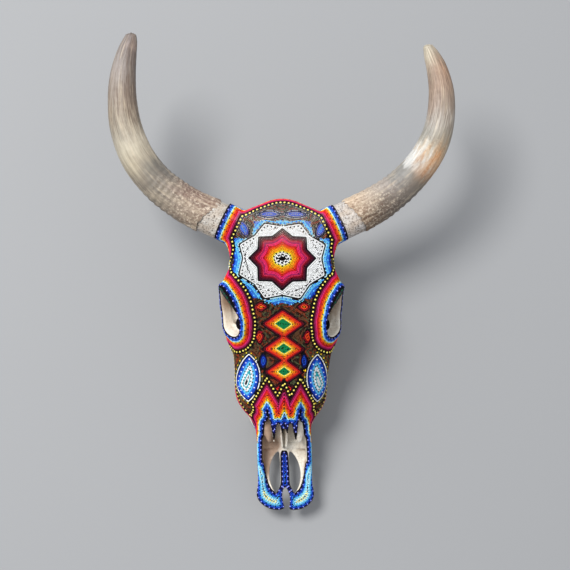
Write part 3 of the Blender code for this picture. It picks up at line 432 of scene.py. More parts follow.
def bone_mass():
    """The large blended volumes of one skull, the left side mirrored to the right."""
    parts = [loft("roof", ROOF, 2.5, 2.2, 56, 56), loft("core", CORE, 2.4, 2.4, 44, 40),
             loft("face", FACE, 1.85, 2.9, 44, 48)]
    sides = [
        orbit_rim("rim"),
        # stalk that carries the horn core
        tube("stalk", ((0.045, 0.078, 0.152, 0.030, 0.026), (0.075, 0.090, 0.153, 0.030, 0.028),
                       (0.108, 0.106, 0.154, 0.0295, 0.0290)), steps=12, count=24),
        # zygomatic arch from the joint of the jaw to below the orbit
        tube("arch", ((0.060, 0.060, 0.098, 0.012, 0.013), (0.0745, 0.044, 0.099, 0.008, 0.012),
                      (0.0785, 0.024, 0.101, 0.0055, 0.0105), (0.0815, 0.004, 0.103, 0.0055, 0.0110),
                      (0.0845, -0.020, 0.100, 0.0070, 0.0140), (0.0842, -0.045, 0.096, 0.0085, 0.0180),
                      (0.0772, -0.075, 0.096, 0.0105, 0.0210), (0.0660, -0.098, 0.096, 0.0110, 0.0200)),
             steps=40, count=20),
        # floor of the orbit, from the cheek bone in to the lacrimal bulla
        ellipsoid("orbit_floor", (0.0640, -0.042, 0.0930), (0.0240, 0.036, 0.0085), (0.0, -0.30, 0.0)),
        # cheek bone, from the orbit to the facial tuber
        tube("cheek", ((0.076, -0.066, 0.118, 0.0100, 0.0160), (0.0665, -0.095, 0.106, 0.0110, 0.0200),
                       (0.0625, -0.125, 0.090, 0.0110, 0.0180), (0.0610, -0.158, 0.070, 0.0110, 0.0100),
                       (0.0560, -0.176, 0.062, 0.0080, 0.0070)), steps=24, count=20),
        # bone behind the orbit, under the frontal crest
        ellipsoid("crest", (0.060, 0.030, 0.158), (0.020, 0.050, 0.012)),
        # wall in front of the orbit
        ellipsoid("lacrimal", (0.055, -0.078, 0.122), (0.020, 0.022, 0.028), (0, 0, -0.3)),
        ellipsoid("lacrimal_bulla", (0.050, -0.052, 0.086), (0.015, 0.024, 0.018)),
        ellipsoid("tuber_maxillae", (0.050, -0.066, 0.056), (0.016, 0.022, 0.026)),
        # alveolar ridge over the tooth roots
        tube("alveoli", ((0.036, -0.218, 0.040, 0.0060, 0.0090), (0.0430, -0.198, 0.036, 0.0090, 0.0150),
                         (0.0500, -0.160, 0.036, 0.0125, 0.0185), (0.0545, -0.120, 0.038, 0.0145, 0.0205),
                         (0.0565, -0.080, 0.040, 0.0140, 0.0200), (0.0560, -0.062, 0.046, 0.0100, 0.0180)),
             steps=30, count=20),
        # occiput: mastoid side, squamous part, ear
        ellipsoid("mastoid", (0.062, 0.080, 0.104), (0.020, 0.018, 0.030)),
        ellipsoid("nuchal", (0.040, 0.092, 0.130), (0.042, 0.018, 0.036)),
        ellipsoid("joint", (0.062, 0.043, 0.090), (0.021, 0.012, 0.0085), (0.0, 0.10, -0.15)),
        tube("ear", ((0.050, 0.060, 0.090, 0.009, 0.009), (0.0745, 0.064, 0.093, 0.0075, 0.0075)), steps=8),
    ]
    for s in sides:
        parts += both(s)
    parts += [
        tube("base", ((0, 0.098, 0.062, 0.020, 0.012), (0, 0.060, 0.058, 0.019, 0.011),
                      (0, 0.020, 0.060, 0.015, 0.011), (0, -0.020, 0.066, 0.011, 0.010)), steps=20),
        ellipsoid("poll", (0, 0.104, 0.172), (0.040, 0.018, 0.016)),
    ]
    return parts


def fine_bones():
    """Thin and sharp parts, which the first smoothing would wear away."""
    sides = [
        # occipital condyle and paracondylar process
        ellipsoid("condyle", (0.0285, 0.0985, 0.068), (0.0185, 0.0145, 0.0225), (0.25, -0.45, -0.35)),
        tube("paracondylar", ((0.056, 0.080, 0.092, 0.018, 0.012), (0.0560, 0.086, 0.060, 0.0165, 0.0095),
                              (0.0535, 0.090, 0.030, 0.0125, 0.0070), (0.0480, 0.089, 0.003, 0.0080, 0.0056)),
             up=(0, 1, 0), steps=20, count=16),
        ellipsoid("bulla", (0.036, 0.056, 0.050), (0.0085, 0.0165, 0.0175), (0, 0.15, 0.2)),
        tube("bulla_spine", ((0.038, 0.050, 0.048, 0.006, 0.006), (0.037, 0.036, 0.034, 0.0025, 0.0030)), steps=8),
        tube("basal_tubercle", ((0.012, 0.062, 0.055, 0.007, 0.006), (0.013, 0.048, 0.049, 0.004, 0.004)), steps=8),
        # pterygoid plate beside the choana
        tube("pterygoid", ((0.0290, -0.058, 0.052, 0.0035, 0.022), (0.0245, -0.030, 0.052, 0.0030, 0.021),
                           (0.0225, -0.004, 0.056, 0.0028, 0.018), (0.0210, 0.012, 0.060, 0.0030, 0.010)),
             steps=20, count=16),
        tube("hamulus", ((0.0225, -0.006, 0.044, 0.0028, 0.006), (0.0215, 0.004, 0.031, 0.0022, 0.0035)), steps=8),
        # premaxilla: nasal process and body
        tube("nasal_process", ((0.0375, -0.206, 0.072, 0.0050, 0.0120), (0.0378, -0.230, 0.064, 0.0048, 0.0110),
                               (0.0383, -0.252, 0.054, 0.0046, 0.0110), (0.0380, -0.276, 0.045, 0.0048, 0.0090),
                               (0.0368, -0.300, 0.0395, 0.0060, 0.0062), (0.0358, -0.318, 0.0360, 0.0100, 0.0052)),
             steps=36, count=16),
        tube("premaxilla_body", ((0.0370, -0.311, 0.0365, 0.0085, 0.0050), (0.0344, -0.3210, 0.0350, 0.0112, 0.0054),
                                 (0.0250, -0.3280, 0.0330, 0.0131, 0.0052), (0.0130, -0.3312, 0.0320, 0.0130, 0.0048),
                                 (0.0060, -0.3306, 0.0318, 0.0118, 0.0047), (-0.0010, -0.3300, 0.0318, 0.0094, 0.0046)),
             steps=26, count=20),
        tube("palatine_process", ((0.0105, -0.3220, 0.0345, 0.0050, 0.0046), (0.0052, -0.306, 0.0365, 0.0040, 0.0046),
                                  (0.0040, -0.285, 0.0375, 0.0036, 0.0046), (0.0040, -0.2500, 0.0385, 0.0036, 0.0048)),
             steps=24, count=12),
        # swelling of the lacrimal bone on the inner wall of the orbit
        ellipsoid("lacrimal_swelling", (0.0655, -0.0630, 0.1535), (0.0062, 0.0098, 0.0070)),
        # crest of the lower concha along the wall of the nose
        ellipsoid("concha", (0.0270, -0.190, 0.0760), (0.0085, 0.050, 0.0110), (0.16, 0.5, 0.0)),
    ]
    parts = []
    for s in sides:
        parts += both(s)
    parts.append(loft("palate", ((-0.3160, 0.0330, 0.0380, 0.0350, 0.0320), (-0.2800, 0.0350, 0.0385, 0.0355, 0.0320),
                                 (-0.2500, 0.0380, 0.0405, 0.0365, 0.0320), (-0.2200, 0.0400, 0.0425, 0.0370, 0.0315),
                                 (-0.1500, 0.0450, 0.0440, 0.0380, 0.0320), (-0.0700, 0.0460, 0.0460, 0.0400, 0.0340)),
                      4.0, 4.0, 44, 32))
    parts.append(nasal_roof())
    return parts


def nasal_roof():
    """Both nasal bones as one arched plate with four prongs at its front."""
    rows = smooth_table(NASAL, 40)
    n = 24
    bm = bmesh.new()
    tops, unders = [], []
    for y, half, top, fall, thick in rows:
        t, u = [], []
        for k in range(n + 1):
            s = -1 + 2 * k / n
            z = top - fall * abs(s) ** 2.2 - 0.0012 * math.exp(-(s / 0.09) ** 2)
            edge = 1 - 0.65 * abs(s) ** 6
            t.append(bm.verts.new((half * s, y, z)))
            u.append(bm.verts.new((half * s * 0.985, y, z - thick * edge)))
        tops.append(t)
        unders.append(u)
    for i in range(len(rows) - 1):
        for k in range(n):
            bm.faces.new((tops[i][k], tops[i][k + 1], tops[i + 1][k + 1], tops[i + 1][k]))
            bm.faces.new((unders[i][k], unders[i + 1][k], unders[i + 1][k + 1], unders[i][k + 1]))
        for k in (0, n):
            bm.faces.new((tops[i][k], tops[i + 1][k], unders[i + 1][k], unders[i][k]))
    for i in (0, len(rows) - 1):
        for k in range(n):
            bm.faces.new((tops[i][k], tops[i][k + 1], unders[i][k + 1], unders[i][k]))
    roof = mesh_object("nasal_roof", bm)
    # notches between the prongs
    for x, apex, half in ((0.0093, -0.2085, 0.0060), (-0.0093, -0.2085, 0.0060), (0.0, -0.2180, 0.0052)):
        boolean(roof, wedge("notch", x, apex, half), 'DIFFERENCE')
    return roof


def wedge(name, x, apex, half):
    """Upright wedge that opens to the front from its apex."""
    front = NASAL_TIP_Y - 0.012
    plan = [(x - half * 1.35 * (k / 8) ** 0.62, apex + (front - apex) * k / 8) for k in range(9)]
    plan += [(x + half * 1.35 * (k / 8) ** 0.62, apex + (front - apex) * k / 8) for k in range(8, 0, -1)]
    return prism(name, plan, 0.07, 0.16)


def cavities():
    """What is open in the skull: orbits, nose, choanae, foramen magnum."""
    out = both(orbit_cutter("orbit"))
    # nasal cavity, from the aperture back under the nasal bones
    out.append(loft("nose", (
        (-0.300, 0.0340, 0.2000, 0.0700, 0.0600), (-0.262, 0.0350, 0.1900, 0.0640, 0.0440),
        (-0.250, 0.0335, 0.1700, 0.0620, 0.0420), (-0.232, 0.0325, 0.1300, 0.0640, 0.0415),
        (-0.214, 0.0305, 0.1060, 0.0660, 0.0420), (-0.196, 0.0300, 0.1125, 0.0700, 0.0430),
        (-0.165, 0.0300, 0.1200, 0.0760, 0.0450), (-0.130, 0.0290, 0.1220, 0.0800, 0.0500),
        (-0.105, 0.0180, 0.1100, 0.0850, 0.0640)), 2.2, 2.6, 44, 36))
    # foramen magnum and the canal behind it
    out.append(tube("foramen", ((0, 0.135, 0.080, 0.0180, 0.0165), (0, 0.105, 0.080, 0.0175, 0.0160),
                                (0, 0.080, 0.084, 0.0160, 0.0150)), steps=8, count=24))
    # choanae, seen from behind and below
    out.append(loft("choana", (
        (0.012, 0.0170, 0.0570, 0.0450, 0.0250), (-0.010, 0.0195, 0.0620, 0.0480, 0.0200),
        (-0.035, 0.0215, 0.0660, 0.0480, 0.0200), (-0.052, 0.0220, 0.0640, 0.0480, 0.0300),
        (-0.064, 0.0120, 0.0580, 0.0500, 0.0400)), 2.2, 3.0, 24, 28))
    return out


def palatine_fissure(name):
    """Upright almond-shaped hole beside the palatine process."""
    front, rear, inner, reach = -0.3195, -0.2500, 0.0078, 0.0172
    n = 16
    plan = []
    for k in range(n + 1):
        t = k / n
        plan.append((inner + 0.0074 * max(0.0, 1 - t / 0.28) ** 1.7 - 0.0008 * math.sin(math.pi * t), front + (rear - front) * t))
    for k in range(n - 1, 0, -1):
        t = k / n
        plan.append((inner + reach * math.sin(math.pi * t ** 0.92) ** (0.46 if t < 0.5 else 0.62), front + (rear - front) * t))
    return prism(name, plan, 0.020, 0.0585)


def incisive_gap(name):
    """Upright slot between the two premaxillae, open to the front."""
    plan = [(0.0000, -0.3068), (0.0022, -0.3096), (0.0039, -0.3125), (0.0064, -0.3180), (0.0076, -0.3240), (0.0073, -0.3317),
            (0.0063, -0.3390), (0.0061, -0.3520), (-0.0018, -0.3520), (-0.0021, -0.3390), (-0.0046, -0.3317),
            (-0.0053, -0.3240), (-0.0052, -0.3180), (-0.0044, -0.3125), (-0.0025, -0.3096)]
    return prism(name, plan, 0.015, 0.060)


def prism(name, plan, low, high):
    bm = bmesh.new()
    a = [bm.verts.new((x, y, low)) for x, y in plan]
    b = [bm.verts.new((x, y, high)) for x, y in plan]
    bm.faces.new(a)
    bm.faces.new(b)
    for i in range(len(plan)):
        k = (i + 1) % len(plan)
        bm.faces.new((a[i], a[k], b[k], b[i]))
    return mesh_object(name, bm)


def temporal_gap():
    """Through gap between the zygomatic arch and the braincase."""
    return tube("gap", ((0.062, 0.020, 0.050, 0.0125, 0.0230), (0.0640, 0.016, 0.085, 0.0120, 0.0240),
                        (0.0660, 0.012, 0.118, 0.0120, 0.0230), (0.0660, 0.012, 0.134, 0.0100, 0.0180)),
                up=(0, 1, 0), steps=16, count=24)


def skew_x(x, y, z):
    """The slight natural crookedness of this skull: the snout turns to +X, the face leans to -X."""
    turn = SNOUT_TURN * (0.5 * (math.hypot(0.03 - y, 0.02) + (0.03 - y)) - 0.0050)
    lean = FACE_LEAN * math.exp(-((y + 0.15) / 0.065) ** 2) * (0.150 - z)
    return x + turn - lean - 0.0015 * math.exp(-((y + 0.025) / 0.045) ** 2)


def skew(obj):
    for v in obj.data.vertices:
        v.co.x = skew_x(*v.co)
    return obj


def horn_base(rows):
    """Point and direction of a horn where it leaves the frontal bone."""
    a, b = Vector(rows[0][:3]), Vector(rows[1][:3])
    return a, (b - a).normalized()


# ------------------------------------------------------------------ fine skull
FINE = 0.0014    # voxel of the finished skull
BEAD_BED = 0.0010                     # how far the bone lies in under the beads


def boolean(obj, tool, operation, keep=False):
    m = obj.modifiers.new("bool", 'BOOLEAN')
    m.operation = operation
    m.solver = 'MANIFOLD'
    m.object = tool
    settle(obj)
    if not keep:
        drop(tool)
    return obj


def co_of(mesh):
    a = np.empty(len(mesh.vertices) * 3, np.float32)
    mesh.vertices.foreach_get("co", a)
    return a.reshape(-1, 3).astype(np.float64)


def normals_of(mesh):
    a = np.empty(len(mesh.vertices) * 3, np.float32)
    mesh.vertex_normals.foreach_get("vector", a)
    return a.reshape(-1, 3).astype(np.float64)


def set_co(mesh, co):
    mesh.vertices.foreach_set("co", np.ascontiguousarray(co, np.float32).ravel())
    mesh.update()


def edges_of(mesh):
    e = np.empty(len(mesh.edges) * 2, np.int32)
    mesh.edges.foreach_get("vertices", e)
    return e.reshape(-1, 2)


def triangles_of(mesh):
    mesh.calc_loop_triangles()
    t = np.empty(len(mesh.loop_triangles) * 3, np.int32)
    mesh.loop_triangles.foreach_get("vertices", t)
    return t.reshape(-1, 3)


def spread(values, edges, times, count):
    """Mean of each vertex and its neighbours, repeated."""
    a, b = edges[:, 0], edges[:, 1]
    near = np.bincount(a, minlength=count) + np.bincount(b, minlength=count) + 1.0
    for _ in range(times):
        values = (values + np.bincount(a, values[b], count) + np.bincount(b, values[a], count)) / near
    return values


def islands(edges, count):
    """A label for each vertex, the same all over one connected body."""
    label = np.arange(count)
    while True:
        low = np.minimum(label[edges[:, 0]], label[edges[:, 1]])
        new = label.copy()
        np.minimum.at(new, edges[:, 0], low)
        np.minimum.at(new, edges[:, 1], low)
        new = new[new]
        while True:
            jump = new[new]
            if (jump == new).all():
                break
            new = jump
        if (new == label).all():
            return label
        label = new


def new_mesh_object(name, co, faces):
    mesh = bpy.data.meshes.new(name)
    mesh.from_pydata([tuple(p) for p in co], [], faces)
    obj = bpy.data.objects.new(name, mesh)
    bpy.context.scene.collection.objects.link(obj)
    return obj


def without(obj, name, keep):
    """A new object that holds only the vertices to keep."""
    bm = bmesh.new()
    bm.from_mesh(obj.data)
    bm.verts.ensure_lookup_table()
    bmesh.ops.delete(bm, geom=[v for v, k in zip(bm.verts, keep) if not k], context='VERTS')
    return mesh_object_keep(name, bm)


def chips_off(obj, least=80):
    label = islands(edges_of(obj.data), len(obj.data.vertices))
    sizes = np.bincount(label, minlength=len(label))[label]
    if (sizes >= least).all():
        return obj
    name = obj.name
    obj.name = "old"
    kept = without(obj, name, sizes >= least)
    drop(obj)
    return kept


def whole_skull():
    body = joined("mass", bone_mass())
    remeshed(body, 0.0032)
    smoothed(body, 0.5, 5)
    for tool in cavities() + both(temporal_gap()):
        boolean(body, tool, 'DIFFERENCE')
    remeshed(body, 0.0017)
    smoothed(body, 0.5, 5)
    detail = joined("detail", fine_bones())
    remeshed(detail, 0.0013)
    smoothed(detail, 0.5, 1)
    for tool in both(palatine_fissure("fissure")) + [incisive_gap("gap")]:
        boolean(body, tool, 'DIFFERENCE', keep=True)
        boolean(detail, tool, 'DIFFERENCE')
    skull = joined("skull", [body, detail])
    remeshed(skull, FINE)
    smoothed(skull, 0.5, 2)
    return chips_off(skull, 2000)


def suture_wave(u, v, size=0.0010):
    """Sinuous edge of a suture, in metres off its plane."""
    w = (np.sin(u * 620 + 1.3 * np.sin(v * 190)) + np.sin(v * 560 + 1.7 * np.sin(u * 240) + 1.0)
         + 0.8 * np.sin(u * 1110 + v * 430 + 2.0) + 0.8 * np.sin(v * 1230 - u * 310 + 0.5)
         + 1.3 * np.sin(u * 150 + v * 120))
    return size * w / 2.2


def wavy_half(name, point, normal, offset, flip, reach=0.21, step=0.0024, wave=0.0010):
    """Block on one side of a sinuous plane through a point."""
    n = np.array(Vector(normal).normalized())
    a = np.cross(n, (1.0, 0.0, 0.0)) if abs(n[0]) < 0.9 else np.cross(n, (0.0, 1.0, 0.0))
    a /= np.linalg.norm(a)
    b = np.cross(n, a)
    count = int(2 * reach / step) + 1
    line = np.linspace(-reach, reach, count)
    u, v = (g.ravel() for g in np.meshgrid(line, line, indexing="ij"))
    near = np.array(point) + np.outer(u, a) + np.outer(v, b) + np.outer(suture_wave(u, v, wave) + offset, n)
    far = np.array(point) + np.outer(u, a) + np.outer(v, b) + n * (-0.6 if flip else 0.6)
    i, k = np.meshgrid(np.arange(count - 1), np.arange(count - 1), indexing="ij")
    q = (i * count + k).ravel()
    quads = np.stack([q, q + count, q + count + 1, q + 1], 1)
    m = count * count
    rim = [r for r in range(count)] + [r * count + count - 1 for r in range(1, count)]
    rim += [m - 1 - r for r in range(1, count)] + [(count - 1 - r) * count for r in range(1, count - 1)]
    rim = np.array(rim)
    nxt = np.roll(rim, -1)
    sides = np.stack([rim, nxt, nxt + m, rim + m], 1)
    faces = np.concatenate([quads, quads[:, ::-1] + m, sides]).tolist()
    obj = new_mesh_object(name, np.concatenate([near, far]), faces)
    bm = bmesh.new()
    bm.from_mesh(obj.data)
    bmesh.ops.recalc_face_normals(bm, faces=bm.faces)
    bm.to_mesh(obj.data)
    bm.free()
    return obj


def flat_half(name, point, normal, size=0.8):
    turn = Vector((0, 0, 1)).rotation_difference(Vector(normal).normalized()).to_matrix().to_4x4()
    return block(name, (-size, -size, 0), (size, size, size), Matrix.Translation(point) @ turn)


def split(obj, name_a, name_b, point, normal, wave=0.0010):
    a = copied(obj, name_a)
    boolean(a, wavy_half("h", point, normal, GAP / 2, False, wave=wave), 'INTERSECT')
    b = copied(obj, name_b)
    boolean(b, wavy_half("h", point, normal, -GAP / 2, True, wave=wave), 'INTERSECT')
    drop(obj)
    return a, b


def taken(obj, name, region, region_grown):
    piece = copied(obj, name)
    boolean(piece, region, 'INTERSECT')
    boolean(obj, region_grown, 'DIFFERENCE')
    return piece


def nasal_region(name, grow):
    """Space of the nasal bones, from their sutures up."""
    rows = [(y, half + 0.0004 + grow, top + 0.02, top - fall - thick - 0.0008 - grow)
            for y, half, top, fall, thick in NASAL]
    rows[0] = (rows[0][0] + grow,) + rows[0][1:]
    rows[-1] = (rows[-1][0] - 0.01,) + rows[-1][1:]
    return rings_object(name, [[(skew_x(x, y, z), y, z) for x, z in ((-h, low), (h, low), (h, high), (-h, high))]
                               for y, h, high, low in smooth_table(rows, 30)])


def cheek_region(name, side, grow):
    """Space of one zygomatic bone, under the frontal bone's parting plane."""
    x0, x1, y0, y1, low = 0.060 - grow, 0.130, -0.108 - grow, 0.008 + grow, 0.070 - grow
    top = lambda y: PARTING_Z - PARTING_TILT * y - GAP / 2 + grow
    plan = ((x0, y0), (x1, y0), (x1, y1), (x0, y1))
    bm = bmesh.new()
    a = [bm.verts.new((side * x, y, low)) for x, y in plan]
    b = [bm.verts.new((side * x, y, top(y))) for x, y in plan]
    bm.faces.new(a)
    bm.faces.new(b)
    for i in range(4):
        bm.faces.new((a[i], a[(i + 1) % 4], b[(i + 1) % 4], b[i]))
    return mesh_object(name, bm)


def median_blade(name, y0, y1, z0, z1, wave=0.0003):
    """Sheet as thick as the gap along the skewed median plane."""
    cells = int((y1 - y0) / 0.0020) + 1
    rows = 9
    ys, zs = np.linspace(y0, y1, cells), np.linspace(z0, z1, rows)
    off = wave * (np.sin(ys * 1500) + np.sin(ys * 2350 + 1) + np.sin(ys * 760))
    co, faces = [], []
    for k in (-1, 1):
        for y, o in zip(ys, off):
            for z in zs:
                co.append((skew_x(k * GAP / 2, y, z) + o, y, z))
    m = cells * rows
    for i in range(cells - 1):
        for k in range(rows - 1):
            q = i * rows + k
            faces.append((q, q + 1, q + rows + 1, q + rows))
            faces.append((q + m, q + m + rows, q + m + rows + 1, q + m + 1))
        for k in (0, rows - 1):
            q = i * rows + k
            faces.append((q, q + rows, q + rows + m, q + m))
    for k in range(rows - 1):
        for i in (0, cells - 1):
            q = i * rows + k
            faces.append((q, q + 1, q + 1 + m, q + m))
    obj = new_mesh_object(name, co, faces)
    bm = bmesh.new()
    bm.from_mesh(obj.data)
    bmesh.ops.recalc_face_normals(bm, faces=bm.faces)
    bm.to_mesh(obj.data)
    bm.free()
    return obj


def halved(obj, name, y0, y1, z0, z1):
    """Part an object by the median blade into its left and right bodies."""
    boolean(obj, median_blade("blade", y0, y1, z0, z1), 'DIFFERENCE')
    co = co_of(obj.data)
    label = islands(edges_of(obj.data), len(co))
    groups = sorted(set(label.tolist()), key=lambda g: -(label == g).sum())
    mid = {g: co[label == g, 0].mean() for g in groups}
    big = sorted(groups[:2], key=lambda g: mid[g])
    right = np.isin(label, [g for g in groups if abs(mid[g] - mid[big[0]]) < abs(mid[g] - mid[big[1]])])
    out = [chips_off(without(obj, name + "_left", ~right)), chips_off(without(obj, name + "_right", right))]
    drop(obj)
    return out


def parted(skull):
    """The skull's bones, each a body of its own."""
    bones = []
    for rows in (HORN_RIGHT, HORN_LEFT):
        at, way = horn_base(rows)
        boolean(skull, flat_half("h", at - way * (GAP / 2), way), 'DIFFERENCE')
    nasals = taken(skull, "nasals", nasal_region("n", 0.0), nasal_region("n", GAP))
    bones += halved(nasals, "nasal", -0.26, -0.05, 0.08, 0.19)
    for side, word in ((1, "left"), (-1, "right")):
        bones.append(taken(skull, "zygomatic_" + word, cheek_region("z", side, 0.0), cheek_region("z", side, GAP)))
    snout, skull = split(skull, "snout", "rest", (0, -0.234, 0.050), (0, -1, 0.45))
    bones += halved(snout, "premaxilla", -0.36, -0.20, 0.0, 0.11)
    jaw, skull = split(skull, "jaw", "rest", (0, -0.055, 0.020), (0, -1, -0.25))
    bones += halved(jaw, "maxilla", -0.26, -0.04, -0.01, 0.18)
    frontal, skull = split(skull, "frontal", "rest", (0, 0, PARTING_Z), (0, PARTING_TILT, 1))
    bones.append(frontal)
    bones += split(skull, "occipital", "braincase", (0, OCCIPUT_Y, 0), (0, 1, 0), wave=0.0016)
    return [chips_off(b) for b in bones]


def vomer():
    """Thin trough of bone that stands on the palate under the nasal bones."""
    rows = smooth_table(((-0.2460, 0.0028, 0.0560, 0.0436), (-0.2360, 0.0040, 0.0640, 0.0438),
                         (-0.2150, 0.0046, 0.0740, 0.0442), (-0.1700, 0.0044, 0.0860, 0.0474)), 60)
    rings = []
    for i, (y, half, top, low) in enumerate(rows):
        wall = 0.0011 * (1 + 0.25 * math.sin(y * 900) + 0.2 * math.sin(y * 2100))
        top += 0.0005 * math.sin(y * 700) + 0.0003 * math.sin(y * 1900)
        line = [(-half, top), (-half * 0.86, low + (top - low) * 0.80), (-half * 0.72, low + (top - low) * 0.55),
                (-half * 0.52, low + (top - low) * 0.30), (-0.0016, low + 0.0050)]
        line += [(0.0, low + 0.0040)] + [(-x, z) for x, z in reversed(line)]
        outer = [(x - wall * (1 if x < 0 else -1 if x > 0 else 0), z) for x, z in line]
        outer = outer[:4] + [(-0.0030, low + 0.0035), (-0.0034, low), (0.0034, low), (0.0030, low + 0.0035)] + outer[7:]
        inner = [(x + wall * 0.8 * (1 if x < 0 else -1 if x > 0 else 0), z + 0.0016) for x, z in line]
        inner[0] = (-half + wall * 0.6, top + 0.0004)
        inner[-1] = (half - wall * 0.6, top + 0.0004)
        rings.append([(x, y, z) for x, z in outer + inner[::-1]])
    bm = bmesh.new()
    made = [[bm.verts.new(q) for q in ring] for ring in rings]
    n = len(made[0])
    for a, b in zip(made, made[1:]):
        for i in range(n):
            bm.faces.new((a[i], a[(i + 1) % n], b[(i + 1) % n], b[i]))
    bm.faces.new(made[0])
    bm.faces.new(made[-1])
    bmesh.ops.triangulate(bm, faces=[f for f in bm.faces if len(f.verts) > 4])
    return skew(mesh_object("vomer", bm))

# ------------------------------------------------------------------ where the beads lie
PITCH = 0.00198              # from one row of beads to the next
BORDER = 15                  # rows of the border


def along(v, pairs):
    return np.interp(v, [p[0] for p in pairs], [p[1] for p in pairs])


def orbit_frame(p, brow=0.0):
    """Elliptic radius about the nearer orbit, height over its plane, angle, radial and axial directions.

    With a brow of 1 all is measured from the rim as the brow carries it outwards."""
    c, n, back, down = (np.array(v) for v in orbit_axes())
    side = np.where(p[:, 0] < 0, -1.0, 1.0)
    q = p * np.stack([side, np.ones(len(p)), np.ones(len(p))], 1) - c
    if brow:
        start = q.copy()
        for _ in range(4):
            turn = np.degrees(np.arctan2(q @ down / ORBIT_HIGH, q @ back / ORBIT_LONG)) % 360
            q = start - np.outer(brow * np.interp(turn, *zip(*ORBIT_BROW)), (1.0, 0.0, 0.0))
    u, w = q @ back / ORBIT_LONG, q @ down / ORBIT_HIGH
    radius = np.hypot(u, w)
    radial = (np.outer(u, back) + np.outer(w, down)) / np.maximum(radius, 1e-6)[:, None]
    radial[:, 0] *= side
    axis = np.repeat(n[None, :], len(p), 0)
    axis[:, 0] *= side
    return radius, q @ n, np.arctan2(w, u), radial, axis


def under_cover(co, no, tree, rows):
    """Which points have bone straight above them."""
    up = Vector((0, 0, 1))
    out = np.zeros(len(co), bool)
    for i in rows:
        at = Vector(co[i] + no[i] * 0.0012)
        out[i] = tree.ray_cast(at, up, 0.3)[0] is not None
    return out


def bead_field(p, n, covered):
    """Signed field over the skull, in about metres: beads lie where it is above nothing."""
    side = np.where(p[:, 0] < 0, -1.0, 1.0)
    x, y, z = np.abs(p[:, 0]), p[:, 1], p[:, 2]
    nx, ny, nz = n[:, 0] * side, n[:, 1], n[:, 2]
    deep_rho, deep_high, _, _, _ = orbit_frame(p)
    rho, high, turn, radial, axis = orbit_frame(p, 1.0)
    facing = (n * axis).sum(1)
    inward = (n * radial).sum(1)

    roof = z - along(y, ((-0.02, 0.148), (0.02, 0.1510), (0.060, 0.1505), (0.085, 0.152), (0.100, 0.156)))
    ring = np.minimum((1.44 - rho) * 0.033, (facing + 0.25) * 0.02)
    ring = np.where(high < -0.030, -0.01, ring)
    arch = np.minimum(z - 0.0865, (nx - 0.05) * 0.02)
    arch = np.where((x > 0.058) & (y > -0.10) & (y < 0.060), np.minimum(arch, (0.056 - y)), -0.01)
    low = along(y, ((-0.26, -0.02), (-0.236, 0.020), (-0.215, 0.040), (-0.19, 0.050), (-0.165, 0.053), (-0.12, 0.051),
                    (-0.095, 0.058), (-0.080, 0.074)))
    face = np.minimum(z - low, (np.maximum(nz, nx) - 0.05) * 0.02)
    face = np.where(y < -0.072, np.minimum(face, (-0.070 - y)), -0.01)
    b = np.maximum(np.maximum(roof, ring), np.maximum(arch, face))

    # nothing inside the orbits
    patch = 0.3 * np.exp(-((np.degrees(turn) % 360 - 228) / 15) ** 2)
    hollow = (deep_rho < 1.02) & (deep_high < -0.012 - 0.010 * patch) & (deep_high > -0.085)
    b = np.where(hollow, -0.006, b)
    near = (high > -0.040) & (high < 0.030)
    rim = (rho - 1.035 + 0.10 * patch) * 0.033
    b = np.where(near, np.minimum(b, rim), b)
    wall = near & (rho < 1.30) & (high < 0.004)
    b = np.where(wall, np.minimum(b, (inward + 0.45 + 0.5 * patch) * 0.008), b)

    # the back, below the crest of the poll
    back = z - along(x, ((0.0, 0.1590), (0.03, 0.1595), (0.055, 0.1580), (0.08, 0.1490)))
    b = np.where((y > 0.090) & (ny > 0.1), np.minimum(b, back), b)

    # nose: bare under the nasal bones and on the inner walls
    b = np.where(covered & (x < 0.036) & (y < -0.075), -0.008, b)
    half = along(y, [(r[0], r[1]) for r in sorted(NASAL)])
    lower = along(y, [(r[0], r[2] - r[3] - r[4]) for r in sorted(NASAL)])
    nasal = np.minimum(np.minimum(z - lower + 0.0002, half + 0.0016 - x), (nz + 0.02) * 0.010)
    edge = along(y, ((-0.290, 0.0336), (-0.262, 0.0337), (-0.250, 0.0334), (-0.232, 0.0324),
                     (-0.216, 0.0306), (-0.205, 0.0290)))
    bar = np.minimum(x - edge, (nz + along(y, ((-0.316, -0.05), (-0.302, 0.42)))) * 0.012)
    bar = np.where(nx < -0.2, np.minimum(bar, (nx + 0.80) * 0.004), bar)
    limit = along(x, ((0.0040, -0.3180), (0.0094, -0.3085), (0.0120, -0.3135), (0.0163, -0.3158), (0.0214, -0.3124),
                      (0.0257, -0.3040), (0.0297, -0.2902), (0.0335, -0.2700)))
    body = np.minimum(limit - y, (nz - 0.05) * 0.012)
    wide = along(y, ((-0.326, 0.0170), (-0.316, 0.0112), (-0.308, 0.0082), (-0.300, 0.0064), (-0.257, 0.0060),
                     (-0.250, 0.0040)))
    process = np.minimum(np.minimum(wide - x, -0.2505 - y), np.minimum((nz - 0.15) * 0.012, z - 0.0330))
    process = np.where(y < -0.3225, -0.01, process)
    front = np.maximum(np.maximum(nasal, bar), np.maximum(body, process))
    b = np.where(y < -0.2075, np.minimum(front, b + np.where(x < 0.034, 1.0, 0.0)), b)

    # collars go right round the horn cores
    for rows in (HORN_RIGHT, HORN_LEFT):
        at, way = horn_base(rows)
        plane = (np.array(at) - p) @ np.array(way)
        own = side == (1.0 if at.x > 0 else -1.0)
        collar = np.minimum(plane, 0.0150 - plane)
        b = np.where(own & (x > 0.055), np.maximum(b, np.where(nz < 0.2, collar, b)), b)
        b = np.where(own, np.minimum(b, plane), b)
    return b


